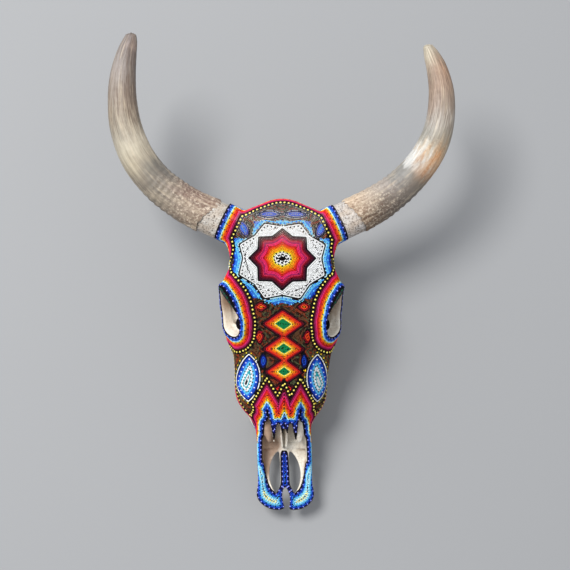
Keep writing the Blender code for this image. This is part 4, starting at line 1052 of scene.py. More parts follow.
def pad_field(p):
    """The same for a small pad of beads on the front rim of each orbit."""
    x, y, z = np.abs(p[:, 0]), p[:, 1], p[:, 2]
    r = np.sqrt(((x - 0.0655) / 0.0062) ** 2 + ((y + 0.0630) / 0.0098) ** 2 + ((z - 0.1535) / 0.0070) ** 2)
    return np.where(z < 0.166, np.clip((1.22 - r) * 0.0066, -0.006, 0.006), -0.006)


def mesh_edges_by_triangle(tri, count):
    """Edge numbers of each triangle, and the two ends of each edge."""
    a = tri[:, [0, 1, 2]].astype(np.int64)
    b = tri[:, [1, 2, 0]].astype(np.int64)
    key = np.minimum(a, b) * count + np.maximum(a, b)
    found, inverse = np.unique(key.ravel(), return_inverse=True)
    return inverse.reshape(-1, 3), np.stack([found // count, found % count], 1)


def start_values(co, tri, field):
    """Distance to the zero line of a field, for the corners of the triangles that it crosses."""
    f = field[tri]
    cross = (f > 0).any(1) & (f <= 0).any(1)
    t, f = tri[cross], f[cross]
    e1, e2 = co[t[:, 1]] - co[t[:, 0]], co[t[:, 2]] - co[t[:, 0]]
    d1, d2 = f[:, 1] - f[:, 0], f[:, 2] - f[:, 0]
    aa, bb, ab = (e1 * e1).sum(1), (e2 * e2).sum(1), (e1 * e2).sum(1)
    det = np.maximum(aa * bb - ab * ab, 1e-24)
    u, v = (d1 * bb - d2 * ab) / det, (d2 * aa - d1 * ab) / det
    slope = np.sqrt(np.maximum(u * d1 + v * d2, 1e-12))
    out = np.full(len(co), np.inf)
    for k in range(3):
        np.minimum.at(out, t[:, k], np.abs(f[:, k]) / slope)
    return np.where(out < 0.004, out, np.inf)


def march(co, tri, start, limit, allowed=None):
    """Distance over the surface from the start values out to a limit."""
    c = np.concatenate([tri[:, 0], tri[:, 1], tri[:, 2]])
    p = np.concatenate([tri[:, 1], tri[:, 2], tri[:, 0]])
    q = np.concatenate([tri[:, 2], tri[:, 0], tri[:, 1]])
    if allowed is not None:
        use = allowed[c] & allowed[p] & allowed[q]
        c, p, q = c[use], p[use], q[use]
    ep, eq = co[p] - co[c], co[q] - co[c]
    lp, lq = np.sqrt((ep * ep).sum(1)), np.sqrt((eq * eq).sum(1))
    cos = (ep * eq).sum(1) / np.maximum(lp * lq, 1e-12)
    sin2 = 1 - cos * cos
    d = start.copy()
    changed = np.isfinite(d)
    for _ in range(400):
        use = np.nonzero((changed[p] | changed[q]) & np.isfinite(np.minimum(d[p], d[q])))[0]
        if not len(use):
            break
        dp, dq = d[p[use]], d[q[use]]
        swap = dp > dq
        da, db = np.where(swap, dq, dp), np.where(swap, dp, dq)
        b, a = np.where(swap, lq[use], lp[use]), np.where(swap, lp[use], lq[use])
        k, s2 = cos[use], sin2[use]
        with np.errstate(invalid="ignore", divide="ignore"):
            u = db - da
            qa = a * a + b * b - 2 * a * b * k
            qb = 2 * b * u * (a * k - b)
            qc = b * b * (u * u - a * a * s2)
            disc = qb * qb - 4 * qa * qc
            t = (-qb + np.sqrt(np.maximum(disc, 0))) / (2 * qa)
            side = b * (t - u) / t
            good = (disc >= 0) & (u < t) & (a * k < side) & ((k <= 0) | (side < a / np.maximum(k, 1e-9)))
            best = np.where(good, da + t, np.minimum(da + b, db + a))
        best = np.where(np.isnan(best) | (best > limit), np.inf, best)
        new = d.copy()
        np.minimum.at(new, c[use], best)
        changed = new < d - 1e-6
        d = new
    return d


def isolines(co, no, tri, tri_edges, ends, value, level, use):
    """Chains of points and normals where the value crosses a level."""
    v = value[tri]
    above = v > level
    some = above.any(1) & ~above.all(1) & np.isfinite(v).all(1) & use
    rows = np.nonzero(some)[0]
    if not len(rows):
        return []
    ab = above[rows]
    cross = ab[:, [0, 1, 2]] != ab[:, [1, 2, 0]]
    te = tri_edges[rows]
    first = np.argmax(cross, 1)
    second = 2 - np.argmax(cross[:, ::-1], 1)
    r = np.arange(len(rows))
    ea, eb = te[r, first], te[r, second]
    points, where = np.unique(np.concatenate([ea, eb]), return_inverse=True)
    i, k = ends[points, 0], ends[points, 1]
    t = ((level - value[i]) / (value[k] - value[i]))[:, None]
    pos = co[i] + (co[k] - co[i]) * t
    nor = no[i] + (no[k] - no[i]) * t
    a, b = where[:len(rows)].tolist(), where[len(rows):].tolist()
    near = [[] for _ in range(len(points))]
    for s, (m, n) in enumerate(zip(a, b)):
        near[m].append((n, s))
        near[n].append((m, s))
    seen = [False] * len(a)
    chains = []
    order = [m for m in range(len(points)) if len(near[m]) == 1] + list(range(len(points)))
    for m in order:
        chain = [m]
        at = m
        while True:
            step = None
            for n, s in near[at]:
                if not seen[s]:
                    step = (n, s)
                    break
            if step is None:
                break
            seen[step[1]] = True
            at = step[0]
            chain.append(at)
        if len(chain) > 1:
            chains.append((pos[chain], nor[chain], chain[0] == chain[-1]))
    return chains


def stepped(chain, pitch):
    """Points along a chain, evenly spaced about a pitch apart."""
    pos, nor, closed = chain
    run = np.concatenate([[0.0], np.cumsum(np.sqrt(((pos[1:] - pos[:-1]) ** 2).sum(1)))])
    total = run[-1]
    if total < pitch * 0.6:
        at = np.array([total / 2])
    else:
        n = max(1, int(round(total / pitch)))
        at = np.arange(n) * total / n if closed else (np.arange(n) + 0.5) * total / n
    p = np.stack([np.interp(at, run, pos[:, k]) for k in range(3)], 1)
    m = np.stack([np.interp(at, run, nor[:, k]) for k in range(3)], 1)
    return p, m / np.sqrt((m * m).sum(1))[:, None]


def lead(p, z):
    """Dark rows that the border has on the brow before its own first row, in rows."""
    rho, high, turn, _, _ = orbit_frame(p, 1.0)
    a = np.degrees(turn) % 360
    rows = np.interp(a, (0, 255, 272, 292, 315, 340, 360), (0, 0, 2.2, 4.4, 4.2, 1.8, 0))
    fade = np.clip((2.3 - rho) / 0.6, 0, 1) * np.clip((high + 0.045) / 0.01, 0, 1)
    return rows * fade * fade * (3 - 2 * fade)

# ------------------------------------------------------------------ colours of the beads
def linear(r, g, b):
    return tuple(c / 12.92 if c <= 0.04045 else ((c + 0.055) / 1.055) ** 2.4 for c in (r / 255, g / 255, b / 255))


BLACK, INK, NAVY = linear(16, 15, 20), linear(14, 18, 56), linear(18, 24, 92)
ROYAL, MID, SKY = linear(28, 74, 200), linear(56, 132, 232), linear(112, 208, 250)
TURQUOISE, WHITE, CREAM = linear(48, 186, 200), linear(246, 248, 248), linear(250, 240, 196)
PALE, YELLOW, AMBER = linear(255, 244, 158), linear(254, 212, 30), linear(252, 170, 32)
ORANGE, FLAME, RED = linear(250, 122, 26), linear(242, 78, 38), linear(220, 34, 36)
CRIMSON, PINK, MAGENTA = linear(150, 16, 40), linear(238, 52, 112), linear(176, 40, 104)
ROSE, PLUM = linear(206, 48, 84), linear(72, 22, 44)
MAROON, GREEN, PINE = linear(96, 18, 38), linear(18, 146, 86), linear(14, 92, 62)
GOLD = linear(255, 234, 112)
BROWN, UMBER, RUST, OLIVE = linear(104, 70, 48), linear(56, 40, 32), linear(140, 58, 34), linear(88, 94, 66)
SLATE, LILAC, ICE = linear(52, 60, 60), linear(150, 158, 246), linear(190, 236, 250)

# rows of the border, from the edge in: colour, then the colour, spacing and length of its dots
EDGE = ((BLACK,), (NAVY, LILAC, 5, 1), (ROYAL,), (MID, INK, 5, 1), (ICE,), (YELLOW, OLIVE, 5, 1), (ORANGE,),
        (FLAME, CRIMSON, 5, 1), (RED,), (PINK,), (MAGENTA,), (MAROON,), (BLACK,), (PALE, BLACK, 3, 1), (BLACK,))
LIP = ((BLACK,), (NAVY, LILAC, 4, 1), (ROYAL,), (MID, INK, 4, 1), (SKY,), (SKY, ICE, 2, 1), (ICE, PALE, 2, 1),
       (PALE, PINE, 4, 1), (ICE,))
SIDE_ROWS = ((BLACK,), (NAVY, LILAC, 4, 1), (ROYAL,), (MID, INK, 4, 1), (SKY,), (ICE,), (SKY,), (MID,), (ROYAL,))
BROW_ROWS = ((BLACK,), (SLATE, PINE, 4, 1), (SLATE,), (PLUM, SLATE, 3, 1), (SLATE,), (BLACK,))

# each motif: rows inside its outline, from the outline in, and rows outside it, from the outline out
STAR_IN = ((BLACK,), (PLUM,), (MAROON,), (CRIMSON,), (ROSE,), (MAGENTA,), (PINK,), (PINK,), (RED,), (FLAME,), (ORANGE,),
           (AMBER,), (AMBER,), (YELLOW,), (PALE, BLACK, 3, 1), (WHITE,), (BLACK, WHITE, 3, 1), (WHITE, BLACK, 3, 1), (BLACK,),
           (WHITE,))
STAR_OUT = ((WHITE,),)
RING_IN = ((BLACK,), (WHITE,), (WHITE, BLACK, 3, 1), (WHITE,))
RING_OUT = ((ICE,), (SKY, MID, 3, 1), (SKY,), (MID,), (MID, SKY, 5, 1), (ROYAL,), (NAVY, ROYAL, 4, 1))
GEM_IN = ((MAROON,), (RED,), (FLAME,), (ORANGE, CRIMSON, 5, 1), (AMBER,), (PALE, YELLOW, 2, 1), (GREEN,), (GREEN,),
          (GREEN,), (PINE,), (WHITE,))
GEM_OUT = ((BLACK,),)
LENS_IN = ((WHITE,), (NAVY,), (ROYAL,), (ROYAL, WHITE, 5, 1), (MID,), (SKY,), (SKY, BLACK, 3, 1), (WHITE,),
           (BLACK, WHITE, 3, 2), (TURQUOISE,), (WHITE,), (BLACK,), (WHITE,))
LENS_OUT = ((BLACK,), (OLIVE, YELLOW, 5, 1))
DROP_IN = ((NAVY,), (ROYAL,), (MID,), (SKY,), (WHITE,), (SKY,))
DROP_OUT = ((BLACK,),)
SEED_IN = ((CRIMSON,), (FLAME,), (AMBER,), (PALE,), (WHITE,))
SEED_OUT = ((BLACK,),)
DOT_IN = ((YELLOW, BLACK, 2, 1), (BLACK,), (PALE,), (BLACK,))
DOT_OUT = ((BLACK,),)
BIG_ROW = 13                 # the border row of larger beads
OUTER = 7                    # rows round a motif before the ground begins


def star_field(x, y, n, outer, inner, turn):
    """Signed distance to an n-pointed star, above nothing inside it."""
    r = np.hypot(x, y)
    a = np.abs((np.arctan2(y, x) - turn + math.pi / n) % (2 * math.pi / n) - math.pi / n)
    px, py = r * np.cos(a), r * np.sin(a)
    q = (outer, 0.0)
    s = (inner * math.cos(math.pi / n), inner * math.sin(math.pi / n))
    ex, ey = s[0] - q[0], s[1] - q[1]
    return -((px - q[0]) * ey * -1 + (py - q[1]) * ex) / math.hypot(ex, ey) * -1


def rhombus_field(x, y, w, h):
    return (1 - np.abs(x) / w - np.abs(y) / h) * w * h / math.hypot(w, h)


def lens_field(x, y, w, h):
    r = (h * h + w * w) / (2 * w)
    return r - np.hypot(np.abs(x) + r - w, y)


# motif fields by place: name, function of x and y on the skull seen from above
def motifs():
    out = [("ring", lambda x, y: star_field(x * 0.88, (y - 0.034) * np.where(y > 0.034, 1.08, 0.93), 8, 0.0640, 0.0540,
                                            math.radians(22.5)), RING_IN, RING_OUT)]
    for y0, w, h in ((-0.0650, 0.0330, 0.0215), (-0.1010, 0.0330, 0.0215), (-0.1350, 0.0300, 0.0200),
                     (-0.1655, 0.0230, 0.0165)):
        out.append(("gem", lambda x, y, y0=y0, w=w, h=h: rhombus_field(x, y - y0, w, h), GEM_IN, GEM_OUT))
    for s in (1, -1):
        out.append(("lens", lambda x, y, s=s: lens_field(x - s * 0.0535, y + 0.1420, 0.0180, 0.0360), LENS_IN, LENS_OUT))
        out.append(("drop", lambda x, y, s=s: lens_field((x - s * 0.0590) * 0.9 - (y - 0.0800) * s * 0.40,
                                                         (y - 0.0800) * 0.9 + (x - s * 0.0590) * s * 0.40, 0.0070, 0.0150),
                    DROP_IN, DROP_OUT))
        out.append(("drop", lambda x, y, s=s: lens_field(y - 0.1015, x - s * 0.0200, 0.0052, 0.0190), DROP_IN, DROP_OUT))
        out.append(("seed", lambda x, y, s=s: rhombus_field(x - s * 0.0365, y + 0.0830, 0.0062, 0.0110), SEED_IN, SEED_OUT))
        out.append(("drop", lambda x, y, s=s: lens_field(x - s * 0.0315, y + 0.1185, 0.0050, 0.0110), DROP_IN, DROP_OUT))
        out.append(("seed", lambda x, y, s=s: rhombus_field(x - s * 0.0330, y + 0.0400, 0.0110, 0.0070), SEED_IN, SEED_OUT))
        out.append(("dot", lambda x, y, s=s: 0.0050 - np.hypot(x - s * 0.0640, y + 0.0980), DOT_IN, DOT_OUT))
        out.append(("dot", lambda x, y, s=s: 0.0050 - np.hypot(x - s * 0.0330, y + 0.1790), DOT_IN, DOT_OUT))
    return out


def core_field(x, y):
    """The coloured star in the middle of the forehead ring."""
    return star_field(x * 0.94, (y - 0.034) * np.where(y > 0.034, 1.06, 0.97), 8, 0.0490, 0.0385, 0.0)


# ------------------------------------------------------------------ the beads' places
NOTCHES = ((0.0262, -0.1960, math.radians(31)), (-0.0262, -0.1960, math.radians(31)), (0.0, -0.2165, math.radians(24)))


class Hash:
    """Points kept apart by a least distance."""

    def __init__(self, cell):
        self.cell = cell
        self.cells = {}

    def free(self, x, y, z, least):
        i, j, k = int(x / self.cell + 4096), int(y / self.cell + 4096), int(z / self.cell + 4096)
        for a in (i - 1, i, i + 1):
            for b in (j - 1, j, j + 1):
                for c in (k - 1, k, k + 1):
                    for u, v, w in self.cells.get((a, b, c), ()):
                        if (u - x) ** 2 + (v - y) ** 2 + (w - z) ** 2 < least:
                            return False
        self.cells.setdefault((i, j, k), []).append((x, y, z))
        return True


def ground_colour(k, at):
    """Brown ground, in rows that drift between dark, rusty and olive."""
    x, y, z = at
    drift = math.sin(x * 190 + 2.1 * math.sin(y * 120)) + math.sin(y * 210 + 1.7 * math.sin(x * 90 + 2)) + 0.9 * math.sin(z * 330)
    pick = (k * 7 + int(drift * 1.6 + 20)) % 11
    return (UMBER, BROWN, RUST, UMBER, OLIVE, BROWN, UMBER, RUST, BROWN, UMBER, OLIVE)[pick]


def row_bead(rows, k, i):
    """Colour and relative size of a bead in a row; the single beads between are a little larger."""
    r = rows[min(k, len(rows) - 1)]
    return (r[1], 1.20) if len(r) > 1 and i % r[2] < r[3] else (r[0], 1.0)


def place_beads(co, no, tri, edges, flat, b, pad, quick):
    """Beads in rows: position, normal and colour of each."""
    count = len(co)
    tri_edges, ends = mesh_edges_by_triangle(tri, count)
    d_edge = march(co, tri, start_values(co, tri, b), 0.085)
    d_edge = np.where(b > 0, d_edge, -d_edge)
    x, y = flat[:, 0], flat[:, 1]
    top = (no[:, 2] > 0.12) & (b > 0.001)
    shapes = motifs()
    fields = np.stack([f(x, y) for _, f, _, _ in shapes])
    which = np.argmax(fields, 0)
    union = np.where(top, fields.max(0), -0.05)
    star = np.where(top, core_field(x, y), -0.05)
    allowed = b > -0.001
    d_motif = march(co, tri, start_values(co, tri, union), 0.085, allowed)
    d_star = march(co, tri, start_values(co, tri, star), 0.085, allowed)
    d_motif = spread(np.where(np.isfinite(d_motif), d_motif, 0.085), edges, 1, count)
    d_star = spread(np.where(np.isfinite(d_star), d_star, 0.085), edges, 1, count)
    d_edge = np.where(b > 0, spread(np.where(np.isfinite(d_edge), d_edge, 0.085), edges, 1, count), d_edge)
    d_true = d_edge
    # over the notches of the nose the rows run to points instead of bows
    for x0, y0, half in NOTCHES:
        r = np.hypot(x - x0, y - y0)
        theta = np.abs(np.arctan2(x - x0, y - y0))
        tight = (b > 0) & (no[:, 2] > 0.1) & (theta < math.pi / 2 - half) & (r < 0.085)
        d_edge = np.where(tight, np.minimum(d_edge, r * np.sin(half + theta)), d_edge)
    d_edge = d_edge - np.where(b > 0, lead(flat, flat[:, 2]), 0) * PITCH
    within = union > 0
    width = BORDER * PITCH
    outer = OUTER * PITCH
    near = np.minimum(d_motif, d_star)
    value = np.where(within, near, np.minimum(near, np.maximum(d_edge - width, 0) + outer))

    found = []
    levels = int(0.085 / PITCH)
    in_border = (d_edge[tri] < width).any(1) & (b[tri] > -0.0002).all(1)
    free = (d_edge[tri] >= width).any(1)
    same = (within[tri].sum(1) % 3 == 0)
    tree = KDTree(count)
    for n in range(count):
        tree.insert(co[n], n)
    tree.balance()

    def owner(p):
        return tree.find(p)[1]

    taken_up = Hash(PITCH)
    least = (0.80 * PITCH) ** 2

    def lay(points, normals, colour_of, keep=None):
        for i, (p, m) in enumerate(zip(points.tolist(), normals.tolist())):
            at = owner(p)
            if keep is not None and not keep(at, p):
                continue
            if taken_up.free(p[0], p[1], p[2], least):
                found.append((p, m) + colour_of(i, at, p))

    # a row of larger beads, yellow and black in turn, then the rest of the border
    for chain in isolines(co, no, tri, tri_edges, ends, d_edge, (BIG_ROW + 0.5) * PITCH, in_border):
        points, normals = stepped(chain, 0.00315)
        lay(points, normals, lambda i, at, p: (GOLD, 1.50) if i % 2 else (BLACK, 1.25))
    for k in range(-5, BORDER):
        if k == BIG_ROW:
            continue
        push = {-1: -0.18, 1: 0.18}.get(k - BIG_ROW, 0.0)
        for chain in isolines(co, no, tri, tri_edges, ends, d_edge, (k + 0.5 + push) * PITCH, in_border):
            points, normals = stepped(chain, PITCH)
            lay(points, normals, lambda i, at, p, k=k: row_bead(
                BROW_ROWS if k < 0 else LIP if flat[at, 1] < -0.302 else SIDE_ROWS if flat[at, 1] < -0.240 else EDGE, -1 - k if k < 0 else k, i))

    # small pads on the front rims of the orbits
    on_pad = (pad[tri] > -0.0002).all(1)
    for k, tone in enumerate((BLACK, SLATE, SLATE)):
        for chain in isolines(co, no, tri, tri_edges, ends, pad, (k + 0.5) * PITCH, on_pad):
            points, normals = stepped(chain, PITCH)
            lay(points, normals, lambda i, at, p, tone=tone: (tone, 1.0))

    def exact(at, p, what):
        """A motif's field at a bead's own place."""
        q = flat[at] + (np.array(p) - co[at])
        return float(what(q[0], q[1]))

    def inside(at, p):
        if near[at] < 0.004 and no[at, 2] > 0.12:
            return exact(at, p, shapes[which[at]][1]) > 0
        return bool(within[at])

    outside = lambda at, p: not inside(at, p)
    # the outline of the star comes first, with a row or two on either side
    on_ring = free & within[tri].all(1)
    core = core_field(x, y)
    for k, tone in ((0.5, BLACK), (-0.5, WHITE), (1.5, PLUM), (-1.5, WHITE)):
        for chain in isolines(co, no, tri, tri_edges, ends, core, k * PITCH, on_ring):
            points, normals = stepped(chain, PITCH)
            lay(points, normals, lambda i, at, p, tone=tone: (tone, 1.0))
    for part, keep in ((True, inside), (False, outside)):
        mask = free & ((within[tri].any(1)) if part else (~within[tri]).any(1))
        for k in range(levels):
            for chain in isolines(co, no, tri, tri_edges, ends, value, (k + 0.5) * PITCH, mask):
                points, normals = stepped(chain, PITCH)

                def colour(i, at, p, k=k, part=part):
                    shape = shapes[which[at]]
                    if d_star[at] < d_motif[at] and shape[0] == "ring" and part:
                        return row_bead(STAR_IN if exact(at, p, core_field) > 0 else STAR_OUT, k, i)
                    if part:
                        return row_bead(shape[2], k, i)
                    if d_motif[at] < outer + PITCH * 0.4 and k < len(shape[3]):
                        return row_bead(shape[3], k, i)
                    return ground_colour(k, p), 1.0

                lay(points, normals, colour, lambda at, p, keep=keep: keep(at, p) and d_edge[at] > width - 0.0006)
    # what the rows leave open
    spots = KDTree(len(found))
    for n, (p, _, _, _) in enumerate(found):
        spots.insert(p, n)
    spots.balance()
    gaps = []
    for n in np.nonzero(np.maximum(b, pad) > 0.0003)[0].tolist():
        p = co[n]
        _, m, d = spots.find(p)
        if d > 0.86 * PITCH and max(d_true[n], pad[n]) > 0.4 * PITCH:
            gaps.append((-d, n, m))
    gaps.sort()
    for _, n, m in gaps:
        p = co[n].tolist()
        if taken_up.free(p[0], p[1], p[2], (0.86 * PITCH) ** 2):
            found.append((p, no[n].tolist(), found[m][2], 0.95))
    return found


def bead_mesh(name, beads, seed):
    """Short glass tubes on end, with rounded rims and a hole, as one mesh."""
    rng = np.random.default_rng(seed)
    n = len(beads)
    at = np.array([b[0] for b in beads])
    axis = np.array([b[1] for b in beads])
    colour = np.array([b[2] for b in beads])
    axis += rng.normal(0, 0.075, axis.shape)
    axis /= np.sqrt((axis * axis).sum(1))[:, None]
    ref = np.where(np.abs(axis[:, 2:3]) < 0.8, np.array([[0, 0, 1.0]]), np.array([[1.0, 0, 0]]))
    u = np.cross(axis, ref)
    u /= np.sqrt((u * u).sum(1))[:, None]
    v = np.cross(axis, u)
    large = np.array([b[3] for b in beads])
    size = large * (1 + rng.normal(0, 0.035, n))
    turn = rng.uniform(0, 2 * math.pi / 7, n)
    deep = rng.normal(0, 0.00005, n) + 0.0009 * (large - 1)
    sides = 7
    co = np.zeros((n, sides * 2 + 1, 3))
    for k in range(sides):
        a = turn + 2 * math.pi * k / sides
        out = u * np.cos(a)[:, None] + v * np.sin(a)[:, None]
        r = (0.00102 * size)[:, None]
        co[:, k] = at + out * r * 1.0 + axis * (-0.00085 + deep)[:, None]
        co[:, sides + k] = at + out * r * 0.74 + axis * (0.00040 + deep)[:, None]
    co[:, 2 * sides] = at + axis * (-0.00010 + deep)[:, None]
    per = 2 * sides + 1
    # faces of one bead
    loops = []
    starts = []
    for k in range(sides):
        j = (k + 1) % sides
        starts.append((len(loops), 4))
        loops += [k, j, sides + j, sides + k]
    for k in range(sides):
        j = (k + 1) % sides
        starts.append((len(loops), 3))
        loops += [sides + k, sides + j, 2 * sides]
    starts.append((len(loops), sides))
    loops += list(range(sides))[::-1]
    loops = np.array(loops)
    start = np.array([s for s, _ in starts])
    total = np.array([t for _, t in starts])
    mesh = bpy.data.meshes.new(name)
    mesh.vertices.add(n * per)
    mesh.vertices.foreach_set("co", co.astype(np.float32).ravel())
    shift = (np.arange(n) * per)[:, None]
    mesh.loops.add(n * len(loops))
    mesh.loops.foreach_set("vertex_index", (loops[None, :] + shift).astype(np.int32).ravel())
    mesh.polygons.add(n * len(start))
    mesh.polygons.foreach_set("loop_start", (start[None, :] + (np.arange(n) * len(loops))[:, None]).astype(np.int32).ravel())
    mesh.polygons.foreach_set("loop_total", np.tile(total, n).astype(np.int32))
    mesh.update(calc_edges=True)
    # each bead's own patch of the surface map, in a grid that keeps neighbours together
    theta = np.arctan2(at[:, 0] - at[:, 0].mean(), 0.10 + at[:, 2].max() - at[:, 2])
    side = int(math.ceil(math.sqrt(n)))
    order = np.argsort(at[:, 1], kind="stable")
    cell = np.zeros((n, 2))
    for r in range(side):
        row = order[r * side:(r + 1) * side]
        row = row[np.argsort(theta[row], kind="stable")]
        cell[row, 0] = (np.arange(len(row)) + 0.5) / side
        cell[row, 1] = (r + 0.5) / side
    uv = np.zeros((len(loops), 2))
    for k, m in enumerate(loops):
        ring = m // sides
        a = 2 * math.pi * (m % sides) / sides
        rad = (0.45, 0.30, 0.0)[ring]
        uv[k] = (rad * math.cos(a), rad * math.sin(a)) if ring < 2 else (0.0, 0.0)
    low = start[-1]
    for k in range(sides):
        a = -2 * math.pi * k / sides
        uv[low + k] = (0.465 + 0.02 * math.cos(a), 0.465 + 0.02 * math.sin(a))
    layer = mesh.uv_layers.new(name="OFBake")
    whole = cell[:, None, :] + uv[None, :, :] / side * 0.96
    layer.data.foreach_set("uv", whole.astype(np.float32).ravel())
    shade = colour * (1 + rng.normal(0, 0.06, n))[:, None]
    tone = np.ones((n, per, 4))
    tone[:, :, :3] = np.clip(shade, 0.002, 1)[:, None, :]
    # each bead's hole is painted darker, partly for the dark wax seen in it and partly as painted shade; the ring at
    # each bead's foot is a little darker, as painted shade
    tone[:, 2 * sides, :3] *= 0.58
    tone[:, :sides, :3] *= 0.92
    layer = mesh.color_attributes.new("tint", 'FLOAT_COLOR', 'POINT')
    layer.data.foreach_set("color", tone.astype(np.float32).ravel())
    obj = bpy.data.objects.new(name, mesh)
    bpy.context.scene.collection.objects.link(obj)
    return obj

# ------------------------------------------------------------------ materials
def shader(name, rough=0.6):
    m = bpy.data.materials.new(name)
    m.use_nodes = True
    m.node_tree.nodes["Principled BSDF"].inputs["Roughness"].default_value = rough
    return m, m.node_tree, m.node_tree.nodes["Principled BSDF"]


def put(tree, kind, inputs=None, **props):
    """A new shader node with its properties and inputs set, sockets linked and values stored."""
    n = tree.nodes.new(kind)
    for k, v in props.items():
        setattr(n, k, v)
    for k, v in (inputs or {}).items():
        if isinstance(v, bpy.types.NodeSocket):
            tree.links.new(v, n.inputs[k])
        else:
            n.inputs[k].default_value = v
    return n


def attribute(tree, name, out="Fac"):
    return put(tree, "ShaderNodeAttribute", attribute_name=name).outputs[out]


def ramp(tree, fac, stops):
    """Colour ramp; a stop is (place, value) or (place, colour)."""
    n = put(tree, "ShaderNodeValToRGB", {"Fac": fac})
    r = n.color_ramp
    while len(r.elements) < len(stops):
        r.elements.new(0.5)
    for e, (at, c) in zip(r.elements, stops):
        e.position = at
        e.color = (c, c, c, 1) if isinstance(c, (int, float)) else (*c, 1)
    return n.outputs["Color"]


def blend(tree, fac, a, b, kind='MIX'):
    n = put(tree, "ShaderNodeMix", data_type='RGBA', blend_type=kind)
    for key, v in ((0, fac), (6, a), (7, b)):
        if isinstance(v, bpy.types.NodeSocket):
            tree.links.new(v, n.inputs[key])
        else:
            n.inputs[key].default_value = v if key == 0 else (*v, 1)
    return n.outputs[2]


def count_with(tree, kind, a, b, clamp=False):
    n = put(tree, "ShaderNodeMath", operation=kind, use_clamp=clamp)
    for k, v in ((0, a), (1, b)):
        if isinstance(v, bpy.types.NodeSocket):
            tree.links.new(v, n.inputs[k])
        else:
            n.inputs[k].default_value = v
    return n.outputs[0]


def noise(tree, at, scale, detail=4.0, rough=0.55, out="Fac"):
    return put(tree, "ShaderNodeTexNoise", {"Vector": at, "Scale": scale, "Detail": detail, "Roughness": rough}).outputs[out]


def cells(tree, at, scale, feature='F1'):
    return put(tree, "ShaderNodeTexVoronoi", {"Vector": at, "Scale": scale}, feature=feature).outputs["Distance"]


def bumped(tree, bsdf, height, strength, distance):
    n = put(tree, "ShaderNodeBump", {"Height": height, "Strength": strength, "Distance": distance})
    tree.links.new(n.outputs["Normal"], bsdf.inputs["Normal"])


IVORY, BONE_TAN = linear(232, 227, 216), linear(188, 173, 150)
BONE_BROWN, BONE_DARK = linear(130, 96, 70), linear(66, 48, 36)
WAX = linear(30, 23, 19)


def bone_material():
    m, t, bsdf = shader("bone_dry")
    at = put(t, "ShaderNodeTexCoord").outputs["Object"]
    wide = noise(t, at, 22.0, 5.0)
    fine = noise(t, at, 240.0, 5.0)
    grain = noise(t, put(t, "ShaderNodeMapping", {"Vector": at, "Scale": (1.0, 0.16, 1.0)}).outputs[0], 420.0, 3.0)
    colour = blend(t, ramp(t, wide, ((0.36, 0.0), (0.66, 0.55))), IVORY, BONE_TAN)
    colour = blend(t, ramp(t, fine, ((0.42, 0.0), (0.70, 0.45))), colour, BONE_TAN)
    colour = blend(t, ramp(t, grain, ((0.55, 0.0), (0.72, 0.30))), colour, BONE_BROWN)
    # painted shade: browner in the hollows of the bone
    hollow = attribute(t, "hollow")
    colour = blend(t, ramp(t, count_with(t, 'ADD', hollow, count_with(t, 'MULTIPLY', count_with(t, 'SUBTRACT', fine, 0.5), 0.35)),
                           ((0.25, 0.0), (0.85, 0.75))), colour, BONE_BROWN)
    # painted shade with some staining: browner at the brown spots, broken up by noise
    stain = attribute(t, "stain")
    colour = blend(t, ramp(t, count_with(t, 'ADD', stain, count_with(t, 'MULTIPLY', count_with(t, 'SUBTRACT', wide, 0.5), 0.9)),
                           ((0.15, 0.0), (0.95, 0.85))), colour, BONE_BROWN)
    pits = cells(t, at, 620.0)
    where = ramp(t, noise(t, at, 60.0, 2.0), ((0.50, 0.0), (0.62, 1.0)))
    pit = count_with(t, 'MULTIPLY', ramp(t, pits, ((0.10, 1.0), (0.26, 0.0))), where)
    colour = blend(t, pit, colour, BONE_DARK)
    bed = attribute(t, "bed")
    colour = blend(t, ramp(t, bed, ((0.20, 0.0), (0.44, 1.0))), colour, WAX)
    t.links.new(colour, bsdf.inputs["Base Color"])
    height = count_with(t, 'SUBTRACT', count_with(t, 'ADD', fine, count_with(t, 'MULTIPLY', grain, 0.6)), count_with(t, 'MULTIPLY', pit, 1.4))
    bumped(t, bsdf, height, 0.55, 0.0006)
    t.links.new(ramp(t, bed, ((0.20, 0.32), (0.44, 0.02))), bsdf.inputs["Specular IOR Level"])
    return m


def tooth_material():
    m, t, bsdf = shader("tooth_enamel", 0.32)
    at = put(t, "ShaderNodeTexCoord").outputs["Object"]
    tone = attribute(t, "tint", "Color")
    fibre = noise(t, put(t, "ShaderNodeMapping", {"Vector": at, "Scale": (1.0, 1.0, 0.12)}).outputs[0], 700.0, 4.0)
    dirt = noise(t, at, 190.0, 5.0)
    colour = blend(t, ramp(t, fibre, ((0.44, 0.0), (0.66, 0.42))), tone, linear(120, 88, 54))
    colour = blend(t, ramp(t, dirt, ((0.54, 0.0), (0.72, 0.60))), colour, linear(64, 46, 32))
    t.links.new(colour, bsdf.inputs["Base Color"])
    bumped(t, bsdf, fibre, 0.30, 0.0004)
    return m


